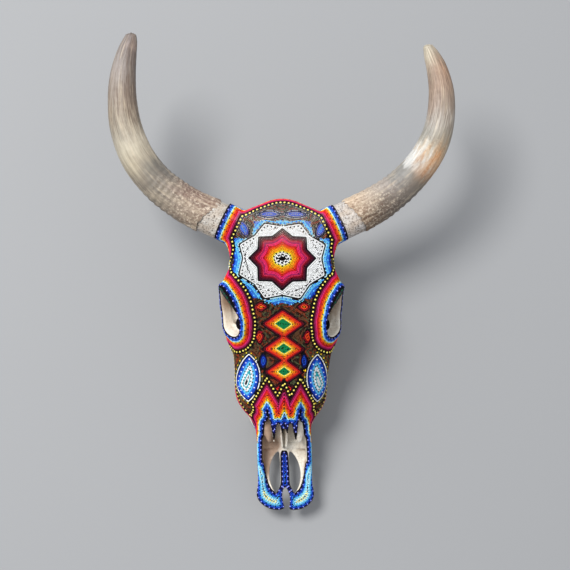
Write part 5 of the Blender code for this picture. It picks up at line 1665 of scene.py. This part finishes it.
def core_material():
    m, t, bsdf = shader("bone_porous", 0.85)
    at = put(t, "ShaderNodeTexCoord").outputs["Object"]
    tone = attribute(t, "tint", "Color")
    run = attribute(t, "run", "Vector")
    pits = cells(t, put(t, "ShaderNodeMapping", {"Vector": run, "Scale": (1.0, 1.0, 0.55)}).outputs[0], 500.0)
    small = cells(t, run, 1300.0)
    fine = noise(t, at, 420.0, 5.0)
    deep = ramp(t, count_with(t, 'ADD', pits, count_with(t, 'MULTIPLY', count_with(t, 'SUBTRACT', noise(t, at, 130.0, 2.0), 0.5), 0.55)),
                ((0.12, 1.0), (0.30, 0.0)))
    colour = blend(t, ramp(t, fine, ((0.35, 0.0), (0.72, 0.50))), tone, linear(158, 140, 124))
    colour = blend(t, ramp(t, small, ((0.08, 0.60), (0.24, 0.0))), colour, linear(118, 98, 82))
    colour = blend(t, count_with(t, 'MULTIPLY', deep, 0.8), colour, linear(96, 76, 62))
    t.links.new(colour, bsdf.inputs["Base Color"])
    height = count_with(t, 'SUBTRACT', count_with(t, 'MULTIPLY', fine, 0.5), deep)
    bumped(t, bsdf, height, 0.85, 0.0011)
    bsdf.inputs["Specular IOR Level"].default_value = 0.25
    return m


def horn_material():
    m, t, bsdf = shader("horn_weathered", 0.5)
    tone = attribute(t, "tint", "Color")
    run = attribute(t, "run", "Vector")
    flake = attribute(t, "flake")
    long_way = put(t, "ShaderNodeMapping", {"Vector": run, "Scale": (1.0, 1.0, 0.075)}).outputs[0]
    fibre = noise(t, long_way, 520.0, 5.0, 0.62)
    broad = noise(t, put(t, "ShaderNodeMapping", {"Vector": run, "Scale": (1.0, 1.0, 0.14)}).outputs[0], 150.0, 4.0)
    crumb = noise(t, run, 300.0, 6.0, 0.72)
    outer_half = ramp(t, put(t, "ShaderNodeSeparateXYZ", {"Vector": run}).outputs["Z"], ((0.19, 0.35), (0.23, 1.0)))
    colour = blend(t, count_with(t, 'MULTIPLY', ramp(t, fibre, ((0.40, 0.62), (0.53, 0.0))), outer_half), tone, linear(92, 74, 60))
    colour = blend(t, ramp(t, broad, ((0.52, 0.0), (0.68, 0.30))), colour, linear(214, 198, 172))
    colour = blend(t, count_with(t, 'MULTIPLY', ramp(t, crumb, ((0.53, 0.0), (0.63, 0.75))), flake), colour, linear(214, 198, 178))
    colour = blend(t, count_with(t, 'MULTIPLY', ramp(t, crumb, ((0.35, 0.85), (0.46, 0.0))), flake), colour, linear(92, 60, 46))
    t.links.new(colour, bsdf.inputs["Base Color"])
    t.links.new(ramp(t, count_with(t, 'ADD', count_with(t, 'MULTIPLY', flake, 0.35), count_with(t, 'MULTIPLY', broad, 0.5)),
                     ((0.0, 0.34), (0.8, 0.78))), bsdf.inputs["Roughness"])
    height = count_with(t, 'ADD', fibre, count_with(t, 'MULTIPLY', crumb, count_with(t, 'ADD', flake, 0.15)))
    bumped(t, bsdf, height, 0.75, 0.0010)
    bsdf.inputs["Specular IOR Level"].default_value = 0.35
    return m


def glass_material():
    m, t, bsdf = shader("bead_glass", 0.32)
    t.links.new(attribute(t, "tint", "Color"), bsdf.inputs["Base Color"])
    bsdf.inputs["Specular IOR Level"].default_value = 0.06
    return m


# ------------------------------------------------------------------ what the mesh tells the shaders
def note(mesh, name, values):
    layer = mesh.attributes.new(name, 'FLOAT', 'POINT')
    layer.data.foreach_set("value", np.asarray(values, np.float32))


def note_colour(mesh, name, values):
    layer = mesh.color_attributes.new(name, 'FLOAT_COLOR', 'POINT')
    full = np.ones((len(values), 4), np.float32)
    full[:, :3] = values
    layer.data.foreach_set("color", full.ravel())


def note_vector(mesh, name, values):
    layer = mesh.attributes.new(name, 'FLOAT_VECTOR', 'POINT')
    layer.data.foreach_set("vector", np.asarray(values, np.float32).ravel())


# brown spots on the bone: painted shade in the upper orbits, inside the nose and under the braincase, with some real
# staining
SHADE_AND_STAIN_SPOTS = (((-0.030, -0.262, 0.046), 0.017, 1.2), ((-0.029, -0.286, 0.040), 0.014, 0.9), ((0.0, -0.238, 0.048), 0.016, 0.3), ((-0.0175, -0.244, 0.050), 0.013, 1.6),
          ((-0.029, -0.236, 0.062), 0.019, 1.7), ((-0.024, -0.214, 0.080), 0.018, 1.2), ((0.030, -0.225, 0.075), 0.015, 0.25),
          ((0.0, -0.215, 0.085), 0.022, 0.5), ((-0.076, -0.022, 0.125), 0.024, 1.1), ((0.076, -0.022, 0.125), 0.028, 0.9),
          ((0.066, -0.040, 0.110), 0.030, 0.2), ((0.0, 0.090, 0.080), 0.040, 0.55), ((0.040, 0.040, 0.100), 0.030, 0.5),
          ((-0.040, 0.040, 0.100), 0.030, 0.5))


def shade_and_stain_at(p):
    out = np.zeros(len(p))
    for at, size, much in SHADE_AND_STAIN_SPOTS:
        out += much * np.exp(-((p - np.array(at)) ** 2).sum(1) / size ** 2)
    return out

# ------------------------------------------------------------------ cheek teeth
def crown(y, length, width, premolar, seed):
    """One cheek tooth: ribbed crown sides and a worn face with crescents of enamel. Returns points, faces, colours."""
    around, down, inward = 72, 16, 12
    mid, x0 = y + length / 2, tooth_x(y + length / 2)
    turn = np.linspace(0, 2 * math.pi, around, endpoint=False)
    cx = np.sign(np.cos(turn)) * np.abs(np.cos(turn)) ** (2 / 3.2)
    cy = np.sign(np.sin(turn)) * np.abs(np.sin(turn)) ** (2 / 3.2)
    lobes = 1 if premolar else 2
    cheek_side = np.clip(cx, 0, 1)
    pinch = 1 - (0.15 * np.exp(-(cy / 0.20) ** 2) if lobes == 2 else 0.05 * np.exp(-(cy / 0.16) ** 2) * (cx < 0))
    # upright ribs on the cheek side
    ribs = np.zeros(around)
    for at, high in (((-0.92, 0.0016), (-0.45, 0.0007), (0.02, 0.0018), (0.50, 0.0007), (0.94, 0.0014)) if lobes == 2 else
                     ((-0.85, 0.0013), (0.0, 0.0008), (0.85, 0.0013))):
        ribs += high * np.exp(-((cy - at) / 0.11) ** 2)
    ribs *= cheek_side
    co, col = [], []
    enamel, stained, dentine = np.array(linear(226, 212, 178)), np.array(linear(120, 90, 58)), np.array(linear(112, 80, 50))
    for i in range(down):
        t = i / (down - 1)
        z = 0.034 * (1 - t) ** 1.15
        k = 0.93 + 0.07 * t - 0.020 * max(0.0, (t - 0.93) / 0.07)
        rib = ribs * (0.6 + 0.4 * t)
        wave = 0.00018 * np.sin(turn * 23 + seed + t * 6) + 0.00015 * np.sin(turn * 41 + seed * 2 + t * 9)
        xs = x0 + cx * pinch * width / 2 * k + cheek_side * rib + wave * cx
        ys = mid + cy * (length / 2 - 0.0004) * k
        co.append(np.stack([xs, ys, np.full(around, z)], 1))
        dirt = np.clip(1.15 - 1.4 * t + 0.45 * np.sin(turn * 9 + seed) * (1 - t) - 260 * rib, 0, 1)[:, None]
        col.append(enamel * (1 - dirt) + stained * dirt)
    # worn face: enamel rim, dentine, and a crescent for each lobe
    edge = co[-1]
    centre = edge.mean(0)
    for j in range(1, inward):
        s = 1 - j / inward
        ring = centre + (edge - centre) * s
        u, v = cx * s, cy * s
        depth = 0.0011 * np.clip((0.93 - s) / 0.10, 0, 1)
        cut = np.full(around, 99.0)
        for m in ((-0.5, 0.5) if lobes == 2 else (0.0,)):
            w = (v - m) / (0.5 if lobes == 2 else 1.0)
            bow = (u - 0.10) + 0.45 * w * w
            cut = np.minimum(cut, np.abs(bow) / 0.13 + np.clip(np.abs(w) - 0.72, 0, 1) * 8)
        lip = np.exp(-((cut - 1.15) / 0.30) ** 2)
        pit = np.clip(1 - cut, 0, 1)
        ring[:, 2] = np.clip(depth - 0.0010 * lip + 0.0022 * pit, 0.00002, 1)
        co.append(ring)
        mix = np.clip(1 - lip * 1.2, 0, 1)[:, None] * min(1.0, max(0.0, (0.95 - s) / 0.06))
        shade = enamel * (1 - mix) + dentine * mix
        col.append(shade * (1 - 0.80 * pit[:, None]))
    top = co[0].mean(0)
    co.append(top[None])
    col.append(enamel[None])
    low = centre.copy()
    low[2] = 0.0008
    co.append(low[None])
    col.append(dentine[None])
    rows = down + inward - 1
    faces = []
    for i in range(rows - 1):
        for k in range(around):
            j = (k + 1) % around
            faces.append((i * around + k, i * around + j, (i + 1) * around + j, (i + 1) * around + k))
    for k in range(around):
        j = (k + 1) % around
        faces.append((rows * around, j, k))
        faces.append((rows * around + 1, (rows - 1) * around + k, (rows - 1) * around + j))
    return np.concatenate(co), faces, np.concatenate(col)


def tooth_row(side, material):
    """The six cheek teeth of one side as one mesh object."""
    co, faces, col, base = [], [], [], 0
    y = TOOTH_FRONT_Y
    for n, (length, width) in enumerate(zip(TOOTH_LENGTHS, TOOTH_WIDTHS)):
        c, f, k = crown(y, length, width, n < 3, 1.7 * n + side)
        c[:, 0] *= side
        c[:, 0] = [skew_x(*p) for p in c.tolist()]
        co.append(c)
        faces += [tuple(v + base for v in (q if side < 0 else q[::-1])) for q in f]
        col.append(k)
        base += len(c)
        y += length
    obj = new_mesh_object("teeth", np.concatenate(co), faces)
    bm = bmesh.new()
    bm.from_mesh(obj.data)
    bmesh.ops.recalc_face_normals(bm, faces=bm.faces)
    bm.to_mesh(obj.data)
    bm.free()
    note_colour(obj.data, "tint", np.concatenate(col))
    obj.data.materials.append(material)
    return obj

# ------------------------------------------------------------------ horns



def horn_frames(rows, places):
    """Centre, direction, side, upper side and radius at places along a horn, in metres from its root."""
    fine, run = spline(rows, 160)
    out = []
    for at in places:
        p = [float(np.interp(at, run, fine[:, k])) for k in range(4)]
        a = Vector([float(np.interp(max(at - 0.004, 0), run, fine[:, k])) for k in range(3)])
        b = Vector([float(np.interp(min(at + 0.004, run[-1]), run, fine[:, k])) for k in range(3)])
        t = (b - a).normalized()
        side = t.cross(Vector((0, 0, 1))).normalized()
        out.append((Vector(p[:3]), t, side, side.cross(t).normalized(), p[3]))
    return out


def horn_mesh(name, points, tones, runs, flakes, material):
    """Closed mesh from rings of equal size, the first and last ring closed to a point."""
    rings, around = len(points), len(points[0])
    co = [p for ring in points for p in ring]
    co.append(sum(points[0], Vector()) / around)
    co.append(sum(points[-1], Vector()) / around)
    faces = []
    for i in range(rings - 1):
        for k in range(around):
            j = (k + 1) % around
            faces.append((i * around + k, i * around + j, (i + 1) * around + j, (i + 1) * around + k))
    n = rings * around
    for k in range(around):
        j = (k + 1) % around
        faces.append((n, j, k))
        faces.append((n + 1, (rings - 1) * around + k, (rings - 1) * around + j))
    obj = new_mesh_object(name, co, faces)
    bm = bmesh.new()
    bm.from_mesh(obj.data)
    bmesh.ops.recalc_face_normals(bm, faces=bm.faces)
    bm.to_mesh(obj.data)
    bm.free()
    flat = lambda rows: [v for ring in rows for v in ring]
    note_colour(obj.data, "tint", flat(tones) + [tones[0][0], tones[-1][0]])
    note_vector(obj.data, "run", flat(runs) + [runs[0][0], runs[-1][0]])
    if flakes is not None:
        note(obj.data, "flake", flat(flakes) + [flakes[0][0], flakes[-1][0]])
    obj.data.materials.append(material)
    obj.data.shade_smooth()
    return obj


# colour along each sheath, in metres from the horn's root: on the inner side of its bend, and on the outer side
SHEATH_RIGHT = (((0.030, (184, 152, 130)), (0.070, (170, 130, 110)), (0.095, (188, 160, 134)), (0.112, (150, 134, 116)),
                 (0.140, (142, 134, 118)), (0.158, (196, 176, 142)), (0.185, (226, 206, 166)), (0.205, (206, 184, 146)),
                 (0.235, (168, 146, 120)), (0.270, (150, 122, 100)), (0.300, (150, 126, 108)), (0.335, (146, 112, 96)),
                 (0.345, (196, 140, 112)), (0.358, (150, 118, 104))),
                ((0.030, (186, 160, 132)), (0.070, (186, 160, 132)), (0.105, (176, 154, 122)), (0.130, (160, 140, 112)),
                 (0.150, (206, 184, 142)), (0.180, (220, 202, 162)), (0.205, (184, 168, 138)), (0.240, (168, 150, 126)),
                 (0.275, (158, 140, 124)), (0.305, (164, 146, 136)), (0.340, (150, 130, 122)), (0.358, (140, 118, 112))))
SHEATH_LEFT = (((0.030, (196, 168, 138)), (0.070, (186, 164, 140)), (0.098, (170, 152, 138)), (0.106, (142, 138, 128)),
                (0.136, (138, 136, 124)), (0.144, (200, 201, 192)), (0.166, (202, 203, 194)), (0.180, (196, 184, 156)),
                (0.200, (150, 144, 122)), (0.222, (178, 164, 146)), (0.250, (172, 140, 116)), (0.290, (172, 138, 112)),
                (0.320, (184, 152, 122)), (0.335, (214, 196, 160)), (0.348, (206, 194, 160))),
               ((0.030, (130, 104, 80)), (0.050, (104, 80, 60)), (0.095, (120, 100, 82)), (0.130, (138, 114, 88)),
                (0.145, (186, 124, 74)), (0.172, (206, 142, 84)), (0.190, (176, 138, 96)), (0.210, (160, 144, 116)),
                (0.235, (184, 166, 144)), (0.255, (170, 142, 116)), (0.285, (184, 142, 110)), (0.310, (208, 146, 102)),
                (0.330, (206, 164, 124)), (0.348, (214, 198, 164))))


def along_colours(table, s):
    at = [a for a, _ in table]
    return [float(np.interp(s, at, [c[k] for _, c in table])) for k in range(3)]


def sheath(side, rows, tables, material):
    """Weathered horn sheath: ragged flaking mouth, growth rings, fibres along it and a worn tip."""
    sign = 1 if side == "left" else -1
    around, steps = ((92, 196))
    total = float(spline(rows, 160)[1][-1])
    seed = 5.0 if sign > 0 else 11.0
    mouth = CORE_SHOWS + 0.0009
    places = mouth + (total - mouth) * np.linspace(0, 1, steps) ** 0.96
    frames = horn_frames(rows, places)
    turns = [2 * math.pi * k / around for k in range(around)]
    points, tones, runs, flakes = [], [], [], []

    def ring(frame, s, radius_of, shift_of=None, tone_of=None, flake=0.0):
        c, t, sv, over, r = frame
        line, tone, run, fl = [], [], [], []
        for a in turns:
            ca, sa = math.cos(a), math.sin(a)
            rad = radius_of(r, a, ca, sa)
            p = c + sv * (rad * ca) + over * (0.93 * rad * sa)
            if shift_of is not None:
                p = p + t * shift_of(a, ca, sa)
            line.append(p)
            run.append((0.026 * ca, 0.026 * sa, s))
            tone.append(tone_of(a, ca, sa))
            fl.append(flake if not callable(flake) else flake(a, ca, sa))
        points.append(line)
        tones.append(tone)
        runs.append(run)
        flakes.append(fl)

    def ragged(a, ca, sa):
        n = flow((ca * 2.2, sa * 2.2, seed)) + 0.6 * flow((ca * 6.5, sa * 6.5, seed + 4)) + 0.5 * flow((ca * 17, sa * 17, seed + 9))
        reach = (0.0135 if sign > 0 else 0.0180) * min(1.0, max(0.0, 0.5 - 0.75 * ca * sign))
        return 0.0052 * max(-0.2, n + 0.15) - reach

    def tone_at(s):
        def tone(a, ca, sa):
            bend = ca * sign
            patchy = math.exp(-((s - 0.172) / 0.035) ** 2) if sign > 0 else 0.0
            jit = 0.010 * flow((ca * 2.4, sa * 2.4, s * 30 + seed)) + (0.006 + 0.010 * patchy) * flow((ca * 7, sa * 7, s * 60))
            # the edge of a plate is sharper than the noise
            inner = along_colours(tables[0], s + jit)
            outer = along_colours(tables[1], s + jit)
            f = min(1.0, max(0.0, 0.5 + 0.75 * (bend + 0.05 + (0.35 + 0.5 * patchy) * flow((ca * 3, sa * 3, s * 22 + 2 * seed)) +
                                                 0.7 * patchy * flow((ca * 9, sa * 9, s * 90 + seed)))))
            c = np.array(inner) * (1 - f) + np.array(outer) * f
            fibre = flow((ca * 11, sa * 11, s * 16 + seed)) + 0.7 * flow((ca * 24, sa * 24, s * 26 + seed))
            level = float(np.interp(s, (0.05, 0.09, 0.12, 0.16, 0.22, 0.30), (0.74, 0.73, 0.73, 0.79, 0.84, 0.87) if sign < 0 else
                                    (0.94, 0.88, 0.88, 0.95, 0.95, 0.89)))
            keep = float(np.interp(s, (0.04, 0.08, 0.12, 0.16, 0.20, 0.24, 0.28, 0.32),
                                   (0.78, 0.64, 0.50, 0.60, 0.54, 0.72, 0.60, 0.42) if sign < 0 else
                                   (0.80, 0.52, 0.36, 0.36, 0.38, 0.50, 0.66, 0.58))) + 0.40 * f * patchy
            c = (c * keep + np.full(3, c.mean() * (1 - keep))) * (level + 0.09 * fibre)
            if s > 0.20:
                dark = flow((ca * 19 + 3, sa * 19, s * 24 + seed))
                c = c * (1 - 0.20 * max(0.0, dark - 0.10) / 0.5)
            # painted shade: the underside of the sheath is darker
            if sa < -0.15:
                c = c * (1 + 0.25 * max(-0.8, sa + 0.15))
            r, g, b = [min(254.0, max(8.0, v)) for v in c]
            return linear(r, g, b)
        return tone

    def outer_radius(s):
        base = min(1.0, max(0.0, 1 - (s - mouth) / 0.085))
        tip = min(1.0, max(0.0, (total - s) / 0.03))

        def radius(r, a, ca, sa):
            wrinkle = math.sin((s + 0.0035 * flow((ca * 2.6, sa * 2.6, s * 20 + seed))) * 2 * math.pi / 0.0105)
            zone = math.exp(-((s - 0.095) / 0.030) ** 2)
            rise = 0.00060 * wrinkle * (0.35 * base + 0.95 * zone + 0.10)
            plate = flow((ca * 4.0, sa * 4.0, s * 48 + seed)) + 0.5 * flow((ca * 11, sa * 11, s * 130 + seed))
            rise += 0.00150 * base * (math.floor(plate * 3.2 + 0.5) / 3.2)
            fibre = flow((ca * 13, sa * 13, s * 14 + seed)) + 0.6 * flow((ca * 27, sa * 27, s * 24))
            rise += 0.00042 * fibre * (1 - 0.5 * base) * tip
            rise += 0.00060 * flow((ca * 1.6, sa * 1.6, s * 12 + seed))
            return r + 0.0007 + rise * (0.35 + 0.65 * tip)
        return radius

    # inside of the mouth, from its depth out to the rim
    hidden = lambda a, ca, sa: linear(92, 70, 54)
    depth = CORE_SHOWS + 0.020
    for s, thick in ((depth, 0.0046), (depth - 0.007, 0.0030), (mouth + 0.006, 0.0016)):
        ring(horn_frames(rows, [s])[0], s, lambda r, a, ca, sa, k=thick: r + 0.0005 - k, None, hidden, 0.2)
    ring(frames[0], mouth, lambda r, a, ca, sa: r - 0.0004, ragged, hidden, 0.5)
    for n, (s, frame_at) in enumerate(zip(places, frames)):
        ease = max(0.0, 1 - (s - mouth) / 0.022)
        ring(frame_at, s, outer_radius(s),
             (lambda a, ca, sa, e=ease: ragged(a, ca, sa) * e) if ease > 0 else None, tone_at(s),
             lambda a, ca, sa, s=s: min(1.0, max(0.0, 1.15 - (s - mouth) / 0.082 + 0.4 * flow((ca * 3, sa * 3, s * 30)))) +
             (0.35 if sign > 0 and 0.14 < s < 0.20 else 0.0))
    c, t, sv, over, r = frames[-1]
    for k in (0.96, 0.88, 0.72, 0.45, 0.18):
        worn = lambda ca, sa: 1 + 0.14 * flow((ca * 2, sa * 2, seed))
        chip = lambda ca, sa: (1 - k) * 0.0030 * (flow((ca * k * 2.5, sa * k * 2.5, seed + 7)) + 0.5 * flow((ca * k * 7, sa * k * 7, seed))) - 0.0012 * k * ca * sign
        points.append([c + t * (r * math.sqrt(1 - k * k) * 0.42 + chip(ca, sa)) + sv * (k * r * ca * worn(ca, sa)) + over * (0.93 * k * r * sa * worn(ca, sa))
                       for ca, sa in ((math.cos(a), math.sin(a)) for a in turns)])
        tones.append([tone_at(total)(a, math.cos(a), math.sin(a)) for a in turns])
        runs.append([(0.026 * k * math.cos(a), 0.026 * k * math.sin(a), total + 0.005 * (1 - k)) for a in turns])
        flakes.append([0.0] * around)
    obj = horn_mesh("sheath_" + side, points, tones, runs, flakes, material)
    obj.data.set_sharp_from_angle(angle=math.radians(62))
    return obj


def core(side, rows, material):
    """Bare porous horn core, from the bead collar into the sheath."""
    sign = 1 if side == "left" else -1
    around, steps = ((120, 56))
    seed = 21.0 if sign > 0 else 33.0
    places = np.linspace(GAP / 2, CORE_SHOWS + 0.0175, steps)
    points, tones, runs = [], [], []
    for s, (c, t, sv, over, r) in zip(places, horn_frames(rows, places)):
        line, tone, run = [], [], []
        inside = min(1.0, max(0.0, (s - CORE_SHOWS) / 0.012))
        for k in range(around):
            a = 2 * math.pi * k / around
            ca, sa = math.cos(a), math.sin(a)
            n = flow((ca * 6, sa * 6, s * 120 + seed)) + 0.7 * flow((ca * 15, sa * 15, s * 330 + seed))
            pit = flow((ca * 30, sa * 30, s * 560 + seed))
            rad = r - 0.0009 - 0.0026 * inside + 0.00045 * n - 0.0012 * max(0.0, pit - 0.22) / 0.4
            groove = flow((ca * 9, sa * 9, s * 12 + seed))
            rad -= 0.0007 * max(0.0, groove - 0.25)
            line.append(c + sv * (rad * ca) + over * (0.93 * rad * sa))
            base = np.array((177, 174, 168)) if sign < 0 else np.array((186, 182, 178))
            warm = flow((ca * 2, sa * 2, s * 40 + seed))
            shade = base * (1 + 0.10 * n) * (1 - 0.5 * max(0.0, pit - 0.22) / 0.4)
            shade = shade * (np.array((0.93, 0.87, 0.81)) * max(0.0, warm) * 1.4 + (1 - max(0.0, warm) * 1.4))
            edge = max(0.0, (s - CORE_SHOWS + 0.004) / 0.010)
            shade = shade * (1 - 0.35 * min(1.0, edge))
            tone.append(linear(*[min(254.0, max(10.0, v)) for v in shade]))
            run.append((0.026 * ca, 0.026 * sa, s))
        points.append(line)
        tones.append(tone)
        runs.append(run)
    return horn_mesh("core_" + side, points, tones, runs, None, material)

# ------------------------------------------------------------------ the whole skull, its bead rows and its bones
skull = whole_skull()
P0 = co_of(skull.data)
N0 = normals_of(skull.data)
TRI = triangles_of(skull.data)
EDGES = edges_of(skull.data)
COUNT = len(P0)
N0 = np.stack([spread(N0[:, k], EDGES, 2, COUNT) for k in range(3)], 1)
N0 /= np.sqrt((N0 * N0).sum(1))[:, None]
tree = BVHTree.FromPolygons([tuple(v) for v in P0], TRI.tolist())
inner = np.nonzero((np.abs(P0[:, 0]) < 0.036) & (P0[:, 1] < -0.075))[0]
COVER = under_cover(P0, N0, tree, inner)
B = bead_field(P0, N0, COVER)
B = np.clip(B, -0.006, 0.006)
B = spread(B, EDGES, 4, COUNT)
for sign in (1, -1):
    on = (B * sign > 0)
    e = EDGES[on[EDGES[:, 0]] & on[EDGES[:, 1]]]
    label = islands(e, COUNT)
    size = np.bincount(label, minlength=COUNT)[label]
    small = on & (size < (900 if sign > 0 else 150))
    B = np.where(small, -sign * 0.0004, B)
skew(skull)
CO = co_of(skull.data)
NO = normals_of(skull.data)
NO = np.stack([spread(NO[:, k], EDGES, 3, COUNT) for k in range(3)], 1)
NO /= np.sqrt((NO * NO).sum(1))[:, None]
PAD = pad_field(P0)
beads = place_beads(CO, NO, TRI, EDGES, P0, B, PAD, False)
B = np.maximum(B, PAD)
within_beads = spread((B > 0).astype(float), EDGES, 3, COUNT)
B = np.where(within_beads > 0.75, np.maximum(B, 0.0013 * np.clip((within_beads - 0.75) / 0.2, 0, 1)), B)

# the bone lies in under the beads; where it is bare it is a little uneven
sunk = np.clip(B / 0.0012, 0, 1)
rough_bone = np.array([flow(p * 55.0) + 0.6 * flow(p * 140.0) for p in (Vector(q) for q in P0.tolist())])
set_co(skull.data, CO + NO * (-0.00095 * sunk + 0.00028 * rough_bone * (1 - sunk))[:, None])
# how deep each point lies in a hollow, for the painted shade that the bone shader puts there
wide = np.stack([spread(CO[:, k], EDGES, 26, COUNT) for k in range(3)], 1)
CAVITY_SHADE = np.clip(((wide - CO) * NO).sum(1) / 0.0016, -1, 1)
CAVITY_SHADE = spread(CAVITY_SHADE, EDGES, 3, COUNT)
# painted shade, with some staining, in the orbits, the nose and under the braincase
SHADE_AND_STAIN = shade_and_stain_at(P0)
whole_tree = KDTree(COUNT)
for n, p in enumerate(co_of(skull.data).tolist()):
    whole_tree.insert(p, n)
whole_tree.balance()

BONE, TOOTH = bone_material(), tooth_material()
HORN_SKIN, POROUS, GLASS = horn_material(), core_material(), glass_material()
bones = parted(skull)
owners = KDTree(sum(len(b.data.vertices) for b in bones))
labels = []
for b in bones:
    name = b.name.split(".")[0]
    for v in b.data.vertices:
        owners.insert(v.co, len(labels))
        labels.append(name)
owners.balance()
fine_enough = 185000
made = []
m_all = 0
for b in bones:
    b.data.calc_loop_triangles()
    m_all += len(b.data.loop_triangles)
for b in bones:
    name = b.name.split(".")[0]
    mod = b.modifiers.new("thin", 'DECIMATE')
    mod.ratio = min(1.0, fine_enough / m_all)
    settle(b)
    feet = co_of(b.data)
    feet[:, 2] = np.maximum(feet[:, 2], 0.0)
    set_co(b.data, feet)
    near = np.array([whole_tree.find(v.co)[1] for v in b.data.vertices])
    b.data.materials.clear()
    b.data.materials.append(BONE)
    b.data.shade_smooth()
    b.data.set_sharp_from_angle(angle=math.radians(48))
    note(b.data, "bed", np.clip(0.5 + B[near] / 0.0022, 0, 1))
    # painted shade in the hollows, and painted shade with some staining at the brown spots
    note(b.data, "hollow", np.clip(CAVITY_SHADE[near], 0, 1))
    note(b.data, "stain", SHADE_AND_STAIN[near])
    if name.startswith("maxilla"):
        row = tooth_row(1 if name.endswith("left") else -1, TOOTH)
        for key in ("bed", "hollow", "stain"):
            note(row.data, key, np.zeros(len(row.data.vertices)))
        row.data.shade_smooth()
        row.data.set_sharp_from_angle(angle=math.radians(55))
        with bpy.context.temp_override(active_object=b, selected_editable_objects=[b, row]):
            bpy.ops.object.join()
    made.append((b, name, "bone"))
trough = vomer()
trough.data.materials.clear()
trough.data.materials.append(BONE)
trough.data.shade_smooth()
trough.data.set_sharp_from_angle(angle=math.radians(40))
# the vomer stands inside the nose: painted shade all over from a set hollow value, and painted shade with some staining
# from the brown spots
vomer_shade_and_stain = shade_and_stain_at(co_of(trough.data))
note(trough.data, "bed", np.zeros(len(trough.data.vertices)))
note(trough.data, "hollow", np.full(len(trough.data.vertices), 0.25))
note(trough.data, "stain", vomer_shade_and_stain)
made.append((trough, "vomer", "bone"))
for side, rows, tables in (("right", HORN_RIGHT, SHEATH_RIGHT), ("left", HORN_LEFT, SHEATH_LEFT)):
    made.append((core(side, rows, POROUS), "horn_core_" + side, "horn_core"))
    made.append((sheath(side, rows, tables, HORN_SKIN), "horn_" + side, "horn"))
for obj, node, slot in made:
    obj.name = "fine_" + node
    obj.location = SHIFT
    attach(obj, "root")
    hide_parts(node)

# beads, each with the bone it is set on
groups = {}
for b in beads:
    groups.setdefault(labels[owners.find(b[0])[1]], []).append(b)
MOST = 7400
for name in sorted(groups):
    part_of = groups[name]
    halves = [("", part_of)] if len(part_of) <= MOST else [
        ("_right", [b for b in part_of if b[0][0] < 0]), ("_left", [b for b in part_of if b[0][0] >= 0])]
    for word, some in halves:
        pieces = -(-len(some) // MOST)
        some.sort(key=lambda b: b[0][1])
        for n in range(pieces):
            chunk = some[n * len(some) // pieces:(n + 1) * len(some) // pieces]
            o = bead_mesh("beads_" + name + word + ("_%d" % (n + 1) if pieces > 1 else ""), chunk, len(chunk))
            o.data.materials.append(GLASS)
            o.location = SHIFT
            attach(o, "root")

# ------------------------------------------------------------------ camera, floor and light
cam = bpy.data.cameras.new("camera")
cam.lens = 77.43
cam.sensor_width = 36.0
camera = bpy.data.objects.new("camera", cam)
bpy.context.scene.collection.objects.link(camera)
right = Vector((0.99966, 0.0, 0.02618))
up = Vector((-0.00455, 0.98481, 0.17359))
back = Vector((-0.02578, -0.17365, 0.98447))
turn = Matrix((right, up, back)).transposed().to_4x4()
camera.matrix_world = Matrix.Translation(Vector((-0.04398, -0.32993, 2.01049)) + SHIFT) @ turn
bpy.context.scene.camera = camera

bm = bmesh.new()
bmesh.ops.create_grid(bm, x_segments=1, y_segments=1, size=14.0)
floor = mesh_object_keep("floor", bm)
m = bpy.data.materials.new("floor")
m.use_nodes = True
m.node_tree.nodes["Principled BSDF"].inputs["Base Color"].default_value = (0.258, 0.262, 0.269, 1)
m.node_tree.nodes["Principled BSDF"].inputs["Roughness"].default_value = 0.9
floor.data.materials.append(m)
floor.location.z = -0.0002


def lamp(name, at, aim, size, power, colour=(1, 1, 1)):
    data = bpy.data.lights.new(name, 'AREA')
    data.shape = 'DISK'
    data.size = size
    data.energy = power
    data.color = colour
    obj = bpy.data.objects.new(name, data)
    bpy.context.scene.collection.objects.link(obj)
    obj.location = at
    obj.rotation_euler = (Vector(aim) - Vector(at)).to_track_quat('-Z', 'Y').to_euler()
    return obj


lamp("key", (-1.9, 1.25, 4.0), (0, 0, 0.05), 1.9, 268.0, (1.0, 0.99, 0.97))
world = bpy.data.worlds.new("world")
world.use_nodes = True
world.node_tree.nodes["Background"].inputs[0].default_value = (0.92, 0.95, 1.0, 1)
world.node_tree.nodes["Background"].inputs[1].default_value = 0.80
bpy.context.scene.world = world
bpy.context.scene.view_settings.view_transform = 'Standard'
